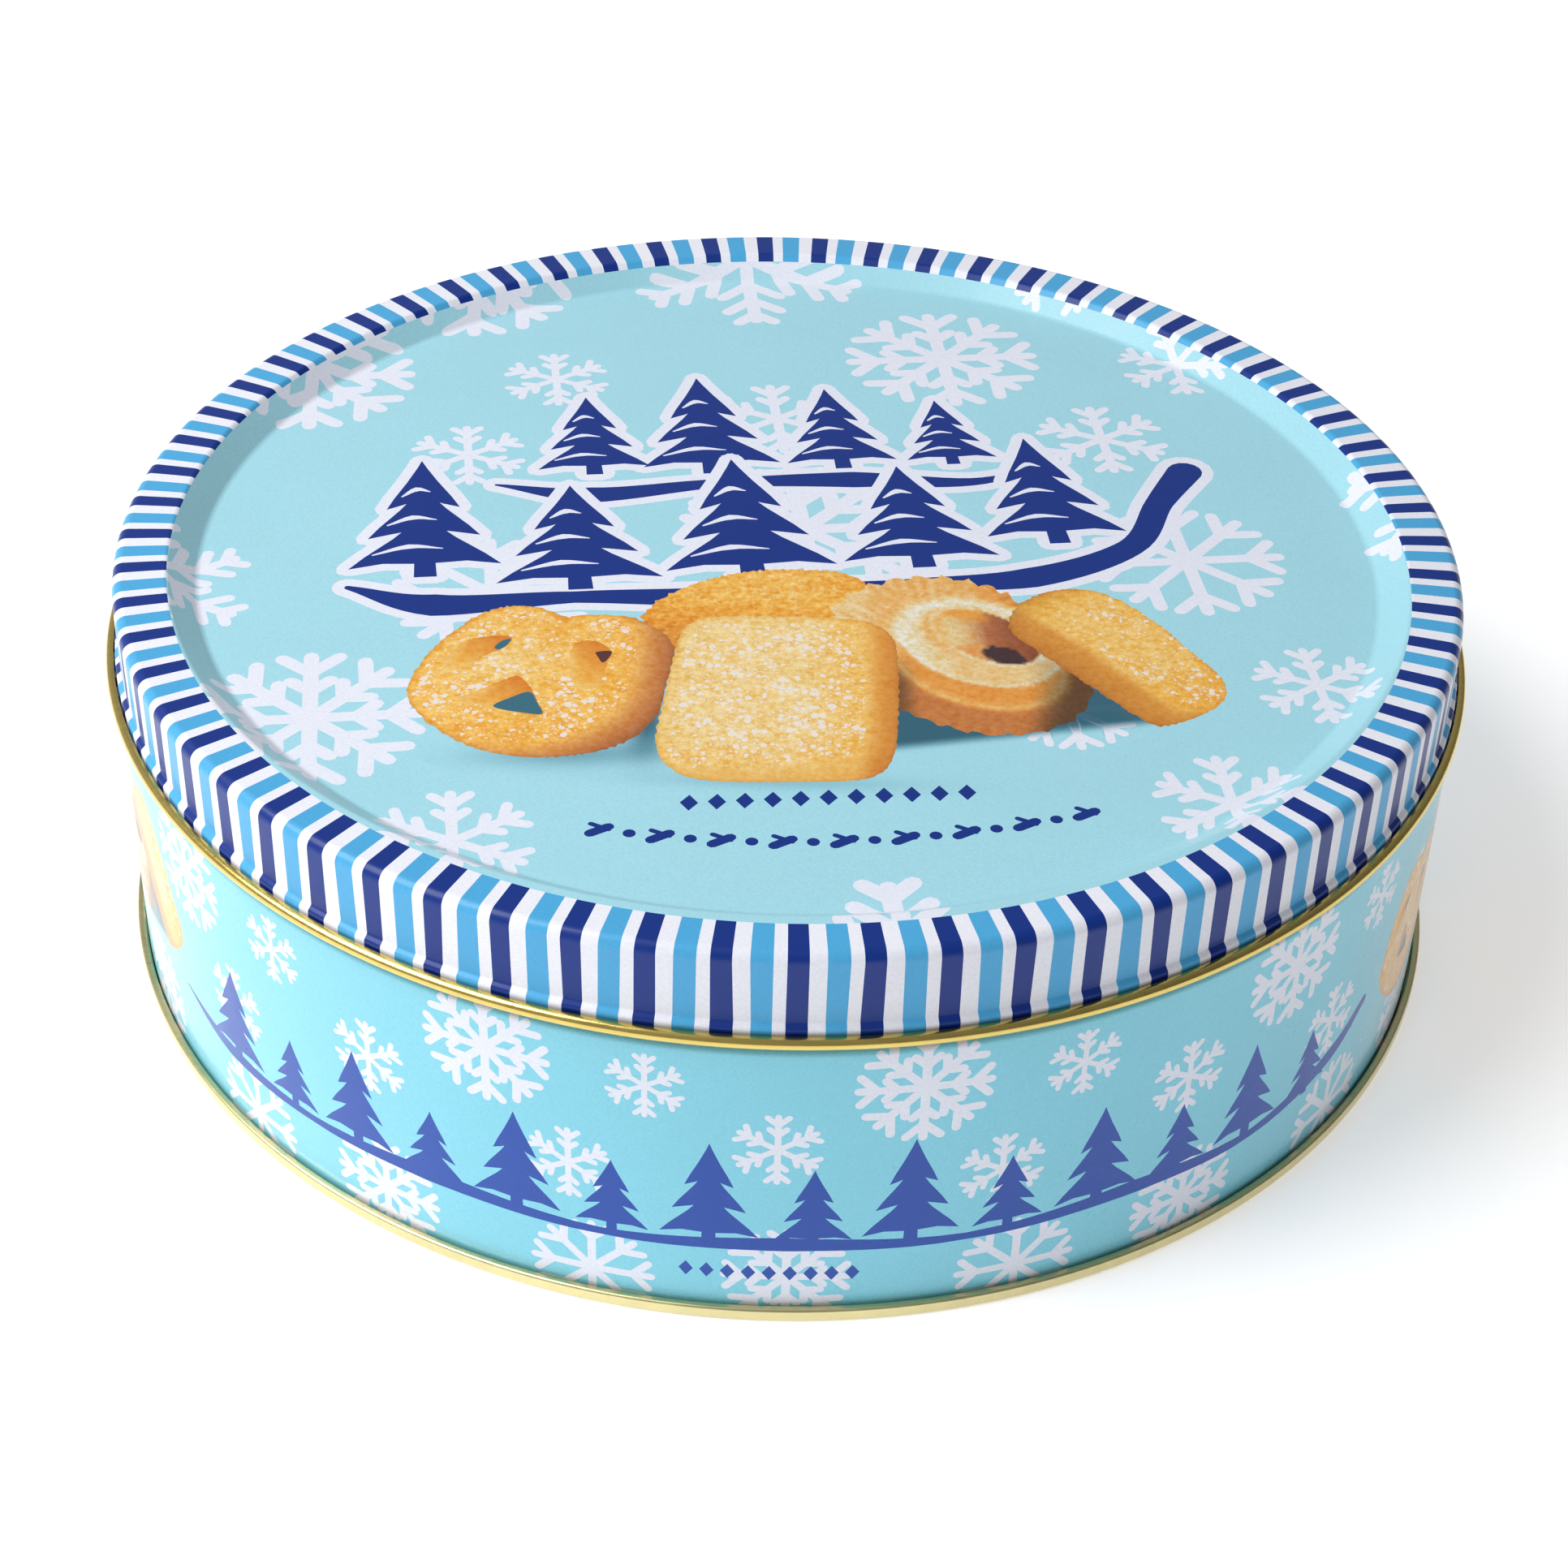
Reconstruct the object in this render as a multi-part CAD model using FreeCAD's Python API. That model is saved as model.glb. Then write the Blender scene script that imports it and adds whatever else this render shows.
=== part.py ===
import FreeCAD, Part
import math
import os

# Round tinplate cookie tin with a slip lid.
# Millimetres, +Z up, the tin stands on the plane z = 0, its axis is the Z axis
# and the printed front faces -Y.

# ---- driving dimensions ---------------------------------------------------
TIN_HEIGHT = 60.0          # overall, standing, lid on
LID_RIM_RADIUS = 97.0      # outside of the straight lid skirt
BODY_RADIUS = 98.1         # outside of the body wall
SHEET = 0.25               # tinplate thickness, all three stampings
CLEARANCE = 0.37           # free play between lid and body

# lid
RIM_WIDTH = 7.6            # flat raised band round the lid, corner included
PANEL_DROP = 3.2           # depth of the recessed panel below that band
STEP_RUN = 4.0             # radial run of the sloped step between the two
LID_CORNER = 1.6           # outside radius, rim to skirt
SKIRT_FLARE = 0.69         # small outward set of the skirt above its curl
FLARE_HEIGHT = 49.4        # height at which that set begins
LID_CURL = 0.85            # outside radius of the rolled lid edge
LID_CURL_Z = 47.3          # height of the curl centre

# body
SHOULDER_Z = 45.2          # where the wall turns in to the neck
NECK_Z = 46.6              # where the neck runs straight again
BODY_CURL = 1.0            # outside radius of the rolled mouth of the body
MOUTH_DROP = 0.25          # extra gap above that mouth, under the round lid corner
LOCK_SEAM_WIDTH = 4.6      # folded lock of the side seam, inside face
LOCK_SEAM_DEPTH = 0.5

# bottom end and its double seam
SEAM_HEIGHT = 2.0          # height of the rolled seam ring
SEAM_GAP = 0.22            # between the outer layers of the seam
BOTTOM_PANEL_Z = 3.0       # middle of the sheet of the raised bottom panel
BOTTOM_STEP = 0.6          # stiffening step pressed into that panel
SEAM_CORNER = 0.4          # bend radius at the foot of the seam
CHUCK_GAP = 0.03           # between the bottom end and the inside of the wall

HALF = SHEET / 2.0
AXIS = FreeCAD.Vector(0, 0, 1)
ORIGIN = FreeCAD.Vector(0, 0, 0)


def bends(points, radii, offset):
    """Runs and bends of a strip whose middle line is offset to its left.

    points are (radius, height) corners of the middle line and radii the bend
    radius at each inner corner. Returns a list of Part curves in the XZ plane.
    """
    curves = []
    count = len(points)
    cursor = None
    for i in range(count):
        here = FreeCAD.Vector(points[i][0], 0, points[i][1])
        if 0 < i:
            before = FreeCAD.Vector(points[i - 1][0], 0, points[i - 1][1])
            run_in = (here - before).normalize()
        if i < count - 1:
            after = FreeCAD.Vector(points[i + 1][0], 0, points[i + 1][1])
            run_out = (after - here).normalize()
        if i == 0:
            side = FreeCAD.Vector(-run_out.z, 0, run_out.x)
            cursor = here + side * offset
            continue
        side_in = FreeCAD.Vector(-run_in.z, 0, run_in.x)
        if i == count - 1:
            curves.append(Part.LineSegment(cursor, here + side_in * offset))
            break
        side_out = FreeCAD.Vector(-run_out.z, 0, run_out.x)
        turn = run_in.x * run_out.z - run_in.z * run_out.x
        hand = 1.0 if turn > 0 else -1.0
        angle = math.acos(max(-1.0, min(1.0, run_in.dot(run_out))))
        reach = radii[i] * math.tan(angle / 2.0)
        centre = here - run_in * reach + side_in * (hand * radii[i])
        radius = radii[i] - hand * offset
        start = centre - side_in * (hand * radius)
        end = centre - side_out * (hand * radius)
        middle_way = (side_in + side_out).normalize()
        middle = centre - middle_way * (hand * radius)
        if (start - cursor).Length > 1e-6:
            curves.append(Part.LineSegment(cursor, start))
        curves.append(Part.Arc(start, middle, end))
        cursor = end
    return curves


def spun_sheet(points, radii):
    """One drawn sheet: a strip of constant thickness spun about the axis."""
    left = [curve.toShape() for curve in bends(points, radii, HALF)]
    right = [curve.toShape() for curve in bends(points, radii, -HALF)]
    first = Part.LineSegment(left[0].Vertexes[0].Point, right[0].Vertexes[0].Point)
    last = Part.LineSegment(left[-1].Vertexes[-1].Point, right[-1].Vertexes[-1].Point)
    edges = left + right + [first.toShape(), last.toShape()]
    wire = Part.Wire(Part.__sortEdges__(edges))
    return Part.Face(wire).revolve(ORIGIN, AXIS, 360)


def curl(centre_r, centre_z, outer_radius, corners):
    """Corner points and bend radii of a rolled edge, quarter turn by quarter turn.

    corners names the visited corners of the square round the roll, such as
    "low in"; every bend is a quarter of the same circle.
    """
    middle = outer_radius - HALF
    across = {"in": -middle, "out": middle}
    up = {"low": -middle, "high": middle}
    points = []
    for name in corners:
        height, side = name.split()
        points.append((centre_r + across[side], centre_z + up[height]))
    return points, [middle] * len(points)


# ---- lid: one drawn stamping ------------------------------------------------
rim_z = TIN_HEIGHT - HALF
skirt_r = LID_RIM_RADIUS - HALF
flared_r = skirt_r + SKIRT_FLARE
step_top_r = LID_RIM_RADIUS - RIM_WIDTH
lid_curl_r = flared_r + LID_CURL - HALF

curl_points, curl_radii = curl(lid_curl_r, LID_CURL_Z, LID_CURL,
                               ["low in", "low out", "high out"])
lid_points = [
    (0.0, rim_z - PANEL_DROP),
    (step_top_r - STEP_RUN, rim_z - PANEL_DROP),
    (step_top_r, rim_z),
    (skirt_r, rim_z),
    (skirt_r, FLARE_HEIGHT),
    (flared_r, FLARE_HEIGHT - 0.6),
]
lid_points += curl_points
lid_points += [(flared_r + HALF + 0.28, LID_CURL_Z + LID_CURL - HALF)]
lid_radii = [0, 1.6, 1.0, LID_CORNER - HALF, 0.5, 0.5] + curl_radii + [0]
lid = spun_sheet(lid_points, lid_radii)

# ---- body wall: rolled strip with a neck and a rolled mouth ------------------
neck_r = LID_RIM_RADIUS - SHEET - CLEARANCE - HALF
wall_r = BODY_RADIUS - HALF
body_curl_r = neck_r + HALF - BODY_CURL
body_curl_z = TIN_HEIGHT - SHEET - CLEARANCE - MOUTH_DROP - BODY_CURL
hook_r = wall_r + 2.0 * (SHEET + SEAM_GAP)
hook_foot_z = SHEET + HALF

curl_points, curl_radii = curl(body_curl_r, body_curl_z, BODY_CURL,
                               ["low in", "high in", "high out"])
body_points = [(body_curl_r + 0.35, body_curl_z - BODY_CURL + HALF)]
body_points += curl_points
body_points += [
    (neck_r, NECK_Z),
    (wall_r, SHOULDER_Z),
    (wall_r, hook_foot_z),
    (hook_r, hook_foot_z),
    (hook_r, SEAM_HEIGHT - SHEET - 0.25),
]
body_radii = [0] + curl_radii + [0.8, 1.0, 0.26, 0.26, 0]
body_wall = spun_sheet(body_points, body_radii)

# folded lock of the side seam, on the inside at the back of the tin
seam_angle = math.degrees(LOCK_SEAM_WIDTH / wall_r)
seam_inner_r = wall_r - HALF - LOCK_SEAM_DEPTH
seam_foot_z = 6.0
seam_length = SHOULDER_Z - 3.0 - seam_foot_z
lock = Part.makeCylinder(wall_r, seam_length, FreeCAD.Vector(0, 0, seam_foot_z), AXIS, seam_angle)
lock = lock.cut(Part.makeCylinder(seam_inner_r, seam_length + 2.0,
                                  FreeCAD.Vector(0, 0, seam_foot_z - 1.0)))
lock.rotate(ORIGIN, AXIS, 90.0 - seam_angle / 2.0)
body_wall = body_wall.fuse(lock).removeSplitter()

# ---- bottom end: drawn disc, double seamed onto the body ---------------------
chuck_r = wall_r - SHEET - CHUCK_GAP
seaming_r = hook_r + SHEET + SEAM_GAP
cover_r = wall_r + SHEET + SEAM_GAP
bottom_points = [
    (0.0, BOTTOM_PANEL_Z),
    (82.0, BOTTOM_PANEL_Z),
    (84.0, BOTTOM_PANEL_Z - BOTTOM_STEP),
    (chuck_r - 2.4, BOTTOM_PANEL_Z - BOTTOM_STEP),
    (chuck_r - 1.6, BOTTOM_PANEL_Z),
    (chuck_r, BOTTOM_PANEL_Z),
    (chuck_r, HALF),
    (seaming_r, HALF),
    (seaming_r, SEAM_HEIGHT - HALF),
    (cover_r, SEAM_HEIGHT - HALF),
    (cover_r, 0.9),
]
bottom_radii = [0, 0.8, 0.8, 0.4, 0.4, 0.5, SEAM_CORNER, SEAM_CORNER, 0.27, 0.27, 0]
bottom_end = spun_sheet(bottom_points, bottom_radii)

# ---- one file for each stamping ----------------------------------------------
os.makedirs("parts", exist_ok=True)
lid.exportStep("parts/lid.step")
body_wall.exportStep("parts/body_wall.step")
bottom_end.exportStep("parts/bottom_end.step")
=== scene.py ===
import math

import bpy
import numpy as np
from mathutils import Matrix, Vector
from mathutils.geometry import delaunay_2d_cdt


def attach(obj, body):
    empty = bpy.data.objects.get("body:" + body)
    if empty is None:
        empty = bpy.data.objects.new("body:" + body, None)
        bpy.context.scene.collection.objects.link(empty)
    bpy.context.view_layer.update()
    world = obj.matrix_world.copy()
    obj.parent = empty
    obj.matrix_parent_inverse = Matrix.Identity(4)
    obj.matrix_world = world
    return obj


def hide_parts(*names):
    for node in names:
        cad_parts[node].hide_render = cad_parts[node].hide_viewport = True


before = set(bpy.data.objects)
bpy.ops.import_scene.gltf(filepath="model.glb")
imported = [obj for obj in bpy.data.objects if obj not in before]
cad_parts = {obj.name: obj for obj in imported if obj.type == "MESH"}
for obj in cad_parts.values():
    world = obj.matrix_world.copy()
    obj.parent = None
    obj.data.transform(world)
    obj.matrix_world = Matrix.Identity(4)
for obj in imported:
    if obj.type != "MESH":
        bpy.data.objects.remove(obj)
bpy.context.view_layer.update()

# Everything below is written in millimetres and scaled once, when a mesh is made.
MM = 0.001
HALF = 0.125               # half the sheet thickness
BEND_STEP = 11.0           # degrees of bend for each row of a profile
SPIN = 288                 # columns of a plain sheet of revolution

# ---------------------------------------------------------------- sheet profiles


def strip(points, radii, offset):
    """One face of a bent sheet as rows of radius, height and outward normal."""
    rows = []
    pts = [Vector(p) for p in points]
    last = len(pts) - 1
    sign = 1.0 if offset > 0 else -1.0

    def add(at, side):
        rows.append((at.x, at.y, side.x * sign, side.y * sign))

    for i, here in enumerate(pts):
        if i > 0:
            run_in = (here - pts[i - 1]).normalized()
            side_in = Vector((-run_in.y, run_in.x))
        if i < last:
            run_out = (pts[i + 1] - here).normalized()
            side_out = Vector((-run_out.y, run_out.x))
        if i == 0:
            add(here + side_out * offset, side_out)
            continue
        if i == last:
            add(here + side_in * offset, side_in)
            break
        hand = 1.0 if run_in.x * run_out.y - run_in.y * run_out.x > 0 else -1.0
        angle = math.acos(max(-1.0, min(1.0, run_in.dot(run_out))))
        reach = radii[i] * math.tan(angle / 2.0)
        centre = here - run_in * reach + side_in * (hand * radii[i])
        radius = radii[i] - hand * offset
        steps = max(3, math.ceil(math.degrees(angle) / BEND_STEP))
        for k in range(steps + 1):
            a = hand * angle * k / steps
            side = Vector((side_in.x * math.cos(a) - side_in.y * math.sin(a),
                           side_in.x * math.sin(a) + side_in.y * math.cos(a)))
            add(centre - side * (hand * radius), side)
    return np.array(rows)


def curl(centre_r, centre_z, outer, corners):
    """Corner points and bend radii of a rolled edge."""
    mid = outer - HALF
    across = {"in": -mid, "out": mid}
    up = {"low": -mid, "high": mid}
    pts = [(centre_r + across[c.split()[1]], centre_z + up[c.split()[0]]) for c in corners]
    return pts, [mid] * len(pts)


# Middle lines of the three stampings: radius and height of each corner, and the bends.
RIM_Z = 60.0 - HALF
PANEL_Z = RIM_Z - 3.2
STEP_R = 89.4              # where the sloped step meets the rim band
SKIRT_R = 97.0 - HALF
FLARED_R = SKIRT_R + 0.69
CURL_Z, CURL_R = 47.3, 0.85
curl_pts, curl_rad = curl(FLARED_R + CURL_R - HALF, CURL_Z, CURL_R, ["low in", "low out", "high out"])
LID = [(0, PANEL_Z), (STEP_R - 4.0, PANEL_Z), (STEP_R, RIM_Z), (SKIRT_R, RIM_Z), (SKIRT_R, 49.4),
       (FLARED_R, 48.8)] + curl_pts + [(FLARED_R + HALF + 0.28, CURL_Z + CURL_R - HALF)]
LID_BENDS = [0, 1.6, 1.0, 1.6 - HALF, 0.5, 0.5] + curl_rad + [0]

WALL_R = 98.1              # outside of the wall
WALL_MID = WALL_R - HALF
NECK_R = SKIRT_R - 0.62
MOUTH_R, MOUTH_Z, MOUTH_ROLL = NECK_R + HALF - 1.0, 58.13, 1.0
HOOK_R = WALL_MID + 0.94
HOOK_Z = 3 * HALF
curl_pts, curl_rad = curl(MOUTH_R, MOUTH_Z, MOUTH_ROLL, ["low in", "high in", "high out"])
WALL = [(MOUTH_R + 0.35, MOUTH_Z - MOUTH_ROLL + HALF)] + curl_pts
WALL += [(NECK_R, 46.6), (WALL_MID, 45.2), (WALL_MID, HOOK_Z), (HOOK_R, HOOK_Z), (HOOK_R, 1.5)]
WALL_BENDS = [0] + curl_rad + [0.8, 1.0, 0.26, 0.26, 0]

CHUCK_R = WALL_MID - 0.28  # bottom end, inside the wall
COVER_R = WALL_MID + 0.47  # layers of the double seam
SEAM_R = HOOK_R + 0.47
SEAM_Z = 2.0 - HALF
END = [(0, 3.0), (82, 3.0), (84, 2.4), (CHUCK_R - 2.4, 2.4), (CHUCK_R - 1.6, 3.0), (CHUCK_R, 3.0),
       (CHUCK_R, HALF), (SEAM_R, HALF), (SEAM_R, SEAM_Z), (COVER_R, SEAM_Z), (COVER_R, 0.9)]
END_BENDS = [0, 0.8, 0.8, 0.4, 0.4, 0.5, 0.4, 0.4, 0.27, 0.27, 0]


def run_length(rows):
    """Distance along a profile, from its first row."""
    step = np.hypot(np.diff(rows[:, 0]), np.diff(rows[:, 1]))
    return np.concatenate([[0.0], np.cumsum(step)])


# ---------------------------------------------------------------- flat artwork

# Printing inks, sRGB. The lid and the wall were printed on separate sheets.
INKS = {
    "lid cyan": (161, 213, 226),
    "wall cyan": (130, 207, 226),
    "flake": (226, 229, 241),
    "white": (233, 234, 243),
    "navy": (2, 44, 128),
    "blue": (74, 166, 216),
    "wall navy": (0, 66, 164),
}


def linear(rgb):
    """sRGB numbers up to 255 as linear light."""
    c = np.asarray(rgb, float) / 255.0
    return np.where(c <= 0.04045, c / 12.92, ((c + 0.055) / 1.055) ** 2.4)


def capsule(a, b, width, caps=4):
    """A rounded stroke from a to b."""
    a, b = np.array(a, float), np.array(b, float)
    heading = math.atan2(b[1] - a[1], b[0] - a[0])
    pts = []
    for end, start in ((b, heading - math.pi / 2), (a, heading + math.pi / 2)):
        for k in range(caps + 1):
            t = start + math.pi * k / caps
            pts.append((end[0] + width / 2 * math.cos(t), end[1] + width / 2 * math.sin(t)))
    return pts


def circle(cx, cy, radius, count=28):
    turn = [2 * math.pi * k / count for k in range(count)]
    return [(cx + radius * math.cos(t), cy + radius * math.sin(t)) for t in turn]


# arms, stroke width, then (place on the arm, branch length) of each pair of branches
FLAKES = {
    "double": (8, 0.135, ((0.40, 0.235), (0.68, 0.34))),
    "single": (8, 0.135, ((0.64, 0.36),)),
    "small": (6, 0.142, ((0.41, 0.25), (0.69, 0.31))),
    "fern": (6, 0.112, ((0.30, 0.33), (0.58, 0.30), (0.84, 0.20))),
}


BRANCH_TURN = math.radians(47)   # between an arm of a flake and its branches


def flake(cx, cy, size, kind, turn=97.5):
    """The strokes of one snowflake."""
    arms, width, branches = FLAKES[kind]
    width *= size
    reach = size - width / 2
    out = []

    def at(r, t):
        return (cx + r * math.cos(t), cy + r * math.sin(t))

    bearings = [math.radians(turn) + 2 * math.pi * k / arms for k in range(arms)]
    for t in bearings[:arms // 2]:
        out.append(capsule(at(reach, t + math.pi), at(reach, t), width))
    for t in bearings:
        for place, length in branches:
            foot = at(place * size, t)
            for hand in (-1, 1):
                b = t + hand * BRANCH_TURN
                tip = (foot[0] + length * size * math.cos(b), foot[1] + length * size * math.sin(b))
                out.append(capsule(foot, tip, width))
    return out


def spline(a, b, c, d, t):
    """A point between b and c on the smooth curve through a, b, c and d."""
    return 0.5 * ((2 * b) + (c - a) * t + (2 * a - 5 * b + 4 * c - d) * t * t
                  + (3 * b - a - 3 * c + d) * t ** 3)


def blob(points, per=5):
    """A smooth closed outline through a few points."""
    p = np.array(points, float)
    n = len(p)
    out = []
    for i in range(n):
        out += [tuple(spline(p[i - 1], p[i], p[(i + 1) % n], p[(i + 2) % n], k / per)) for k in range(per)]
    return out


def path(points, per=8):
    """A smooth open line through a few points."""
    p = [np.array(q, float) for q in points]
    p = [2 * p[0] - p[1]] + p + [2 * p[-1] - p[-2]]
    out = [spline(*p[i - 1:i + 3], k / per) for i in range(1, len(p) - 2) for k in range(per)]
    return np.array(out + [p[-2]])


def brush(points, widths, grow=0.0, per=8):
    """A brush stroke along a smooth line, its width changing along the way, as quads."""
    line = path(points, per)
    w = np.interp(np.linspace(0, 1, len(line)), np.linspace(0, 1, len(widths)), widths)
    w = w / 2.0 + grow
    tangent = np.gradient(line, axis=0)
    tangent /= np.linalg.norm(tangent, axis=1)[:, None]
    side = np.stack([-tangent[:, 1], tangent[:, 0]], 1)
    left, right = line + side * w[:, None], line - side * w[:, None]
    out = []
    for i in range(len(line) - 1):
        out.append([tuple(right[i]), tuple(right[i + 1]), tuple(left[i + 1]), tuple(left[i])])
    out.append(circle(*line[0], w[0] * 0.999, 14))
    out.append(circle(*line[-1], w[-1] * 0.999, 14))
    return out


def fir(cx, cy, width, height, tiers=3):
    """Outline of a fir tree with swept boughs, foot at cx, cy."""
    right = [(0.075, 0.0), (0.07, 0.11)]
    for k in range(tiers):
        low = 0.10 + 0.80 * k / tiers * 0.92
        reach = 0.5 * (1.0 - 0.66 * k / (tiers - 0.4))
        high = 0.10 + 0.80 * (k + 1) / tiers * 0.92 + 0.03
        right += [(reach * 0.55, low + 0.020), (reach, low - 0.015), (reach * 0.80, low + 0.075),
                  (reach * 0.42, high - 0.055)]
        if k < tiers - 1:
            right += [(reach * 0.30, high)]
    right += [(0.035, 0.93), (0.0, 1.0)]
    left = [(-x, y) for x, y in reversed(right[:-1])]
    return [(cx + x * width, cy + y * height) for x, y in right + left]


def turned(shape, degrees, about=(0, 0)):
    t = math.radians(degrees)
    c, s = math.cos(t), math.sin(t)
    return [(about[0] + (x - about[0]) * c - (y - about[1]) * s,
             about[1] + (x - about[0]) * s + (y - about[1]) * c) for x, y in shape]


def bordered(shape, width):
    """The strokes of a border of that width round an outline."""
    n = len(shape)
    return [capsule(shape[i], shape[(i + 1) % n], 2 * width, 3) for i in range(n)]


# ---------------------------------------------------------------- printed cookies


def soft(x, low, high):
    """0 below low, 1 above high, smooth between."""
    t = np.clip((x - low) / (high - low), 0.0, 1.0)
    return t * t * (3 - 2 * t)


def edge_distance(x, y, outline):
    """Distance of each point from an outline."""
    o = np.array(outline)
    best = np.full(len(x), 1e9)
    for a, b in zip(o, np.roll(o, -1, axis=0)):
        d = b - a
        t = np.clip(((x - a[0]) * d[0] + (y - a[1]) * d[1]) / max(d @ d, 1e-12), 0, 1)
        best = np.minimum(best, (x - a[0] - t * d[0]) ** 2 + (y - a[1] - t * d[1]) ** 2)
    return np.sqrt(best)


def inside(pts, outline):
    """Which points lie in an outline."""
    o = np.asarray(outline, float)
    x, y = pts[:, 0], pts[:, 1]
    hit = np.zeros(len(pts), bool)
    for a, b in zip(o, np.roll(o, -1, axis=0)):
        if a[1] == b[1]:
            continue
        cross = (a[1] > y) != (b[1] > y)
        hit ^= cross & (x < (b[0] - a[0]) * (y - a[1]) / (b[1] - a[1]) + a[0])
    return hit


def beyond(x, y, outline):
    """Distance outside an outline, negative inside it."""
    d = edge_distance(x, y, outline)
    return np.where(inside(np.stack([x, y], 1), outline), -d, d)


def spot(x, y, cx, cy, rx, ry, slope=0.0):
    """A soft patch: 1 in its middle, fading over about rx and ry."""
    return np.exp(-(((x - cx) / rx) ** 2 + ((y - cy - slope * (x - cx)) / ry) ** 2))


def crest(v, at, width):
    """1 where v is at, fading over about width."""
    return np.exp(-((v - at) / width) ** 2)


def crumb(x, y, size):
    """A smooth irregular wave, for uneven baking."""
    k = 2 * math.pi / size
    return (np.sin(k * (x + 0.6 * y) + 1.7 * np.sin(k * 0.43 * y + 0.5))
            * np.sin(k * (y - 0.3 * x) * 0.91 + 1.3 * np.sin(k * 0.37 * x + 2.0)))


def mix(a, b, t):
    """Colours between a and b, by a share t for each point."""
    t = np.asarray(t, float)[:, None]
    return np.asarray(a, float) * (1 - t) + np.asarray(b, float) * t


# light falling on the baked things in the printed picture, from the upper left
PICTURE_LIGHT = (-0.42, 0.55, 0.72)


def lit(x, y, height):
    """Brightness of a relief under the picture's own light; about 0.72 where it is level."""
    e = 0.12
    gx = (height(x + e, y) - height(x - e, y)) / (2 * e)
    gy = (height(x, y + e) - height(x, y - e)) / (2 * e)
    lx, ly, lz = PICTURE_LIGHT
    return np.clip((lz - gx * lx - gy * ly) / np.sqrt(1 + gx * gx + gy * gy), 0, 1)


def ramp(t, *stops):
    """A colour ramp: stops are (place, colour)."""
    places = [p for p, _ in stops]
    colours = np.array([c for _, c in stops], float)
    return np.stack([np.interp(t, places, colours[:, k]) for k in range(3)], 1)


CRUST = ((0.15, (146, 88, 50)), (0.40, (196, 118, 42)), (0.58, (226, 150, 50)),
         (0.72, (234, 178, 78)), (0.84, (233, 200, 130)), (1.0, (230, 213, 182)))

PRETZEL = blob([
    (-51.2, -39), (-50.2, -33), (-47.4, -26.4), (-43.4, -20.4), (-39.2, -17.9), (-34.6, -18.2),
    (-31.2, -20.2), (-28.8, -19.6), (-24.6, -19.4), (-20.6, -20.6), (-16.6, -24.6), (-15.4, -28.6),
    (-16.2, -36), (-17.2, -44), (-20.8, -49.8), (-26.5, -53.0), (-34, -54.0), (-41, -52.2),
    (-46.6, -47.8), (-50.2, -43)])
# where the upper face gives way to the side; past the outline where no side is seen
PRETZEL_FACE = blob([
    (-52.4, -39), (-51.4, -33), (-48.4, -25.8), (-44.0, -19.4), (-39.4, -16.6), (-34.4, -17.0),
    (-31.2, -19.2), (-28.6, -18.4), (-24.6, -18.6), (-21.4, -20.6), (-20.2, -25), (-20.2, -32),
    (-20.9, -39), (-23.4, -44.8), (-28.2, -49.6), (-34.5, -52.2), (-41.4, -51.6), (-47.4, -47.8),
    (-51.2, -43)])
# each opening of the pretzel: the hole in its face, the part that is seen right through, its colour
PRETZEL_HOLES = (
    ([(-46.4, -30.4), (-44.8, -27.2), (-42.4, -26.0), (-39.6, -25.4), (-38.2, -26.2), (-39.2, -28.6),
      (-41.4, -30.4), (-42.8, -32.6), (-45.2, -34.2), (-46.8, -33.8)],
     [(-40.4, -28.4), (-39.6, -26.8), (-38.3, -26.2), (-38.8, -27.8), (-39.7, -28.9)],
     (52, 104, 122)),
    ([(-29.8, -28.4), (-28.8, -26.4), (-26.6, -26.2), (-24.2, -28.4), (-24.5, -30.9), (-24.9, -34.6),
      (-25.2, -37.0), (-27.4, -38.0), (-29.2, -35.8), (-29.9, -31.6)],
     [(-26.3, -28.9), (-24.2, -28.6), (-24.6, -30.6), (-25.3, -31.4), (-25.9, -30.2)],
     (84, 48, 46)),
    ([(-44.2, -41.0), (-41.4, -38.8), (-38.6, -36.4), (-36.4, -35.2), (-34.6, -38.0), (-33.0, -42.0),
      (-32.5, -44.2), (-36.8, -43.9), (-40.4, -42.6), (-43.4, -42.2)],
     [(-39.2, -42.7), (-36.8, -40.2), (-34.6, -39.0), (-33.4, -41.4), (-32.5, -44.0), (-34.6, -44.0)],
     (52, 104, 122)),
)
OVAL = blob([
    (-20.4, -20.6), (-19.6, -17.2), (-16.4, -13.2), (-11.2, -9.2), (-4.6, -6.7), (2.4, -6.1),
    (7.4, -6.5), (10.6, -8.6), (13, -14), (10, -22), (-8, -26), (-17.5, -27.5)])
SQUARE = blob([
    (-15.2, -26), (-13.9, -21.4), (-10.4, -19.2), (-2, -18.6), (8.6, -18.8), (12.4, -20.0),
    (15.0, -24.0), (15.5, -32), (15.2, -45), (14.4, -52), (11.2, -56.6), (2, -57.8), (-9.6, -58.1),
    (-14.6, -55.8), (-17.0, -50), (-16.4, -40)])
SQUARE_FACE = blob([
    (-17.6, -26), (-15.8, -19.4), (-11, -17.0), (-2, -16.7), (6.6, -17.2), (10.6, -19.4), (11.7, -25),
    (11.6, -38), (11.1, -48.5), (9.0, -52.6), (2, -54.6), (-9.6, -55.6), (-15.8, -54.2), (-18.6, -49),
    (-18.2, -40)])
OBLONG = blob([
    (31.3, -18.6), (32.4, -14.6), (36.4, -10.6), (41.4, -9.2), (46.2, -10.8), (51.4, -16.4),
    (56.4, -24.4), (60, -31.2), (60.0, -36), (56.4, -40), (51.2, -42.8), (48.4, -41.6), (42.4, -34.6),
    (35.6, -26.4), (32, -21.6)])
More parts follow.
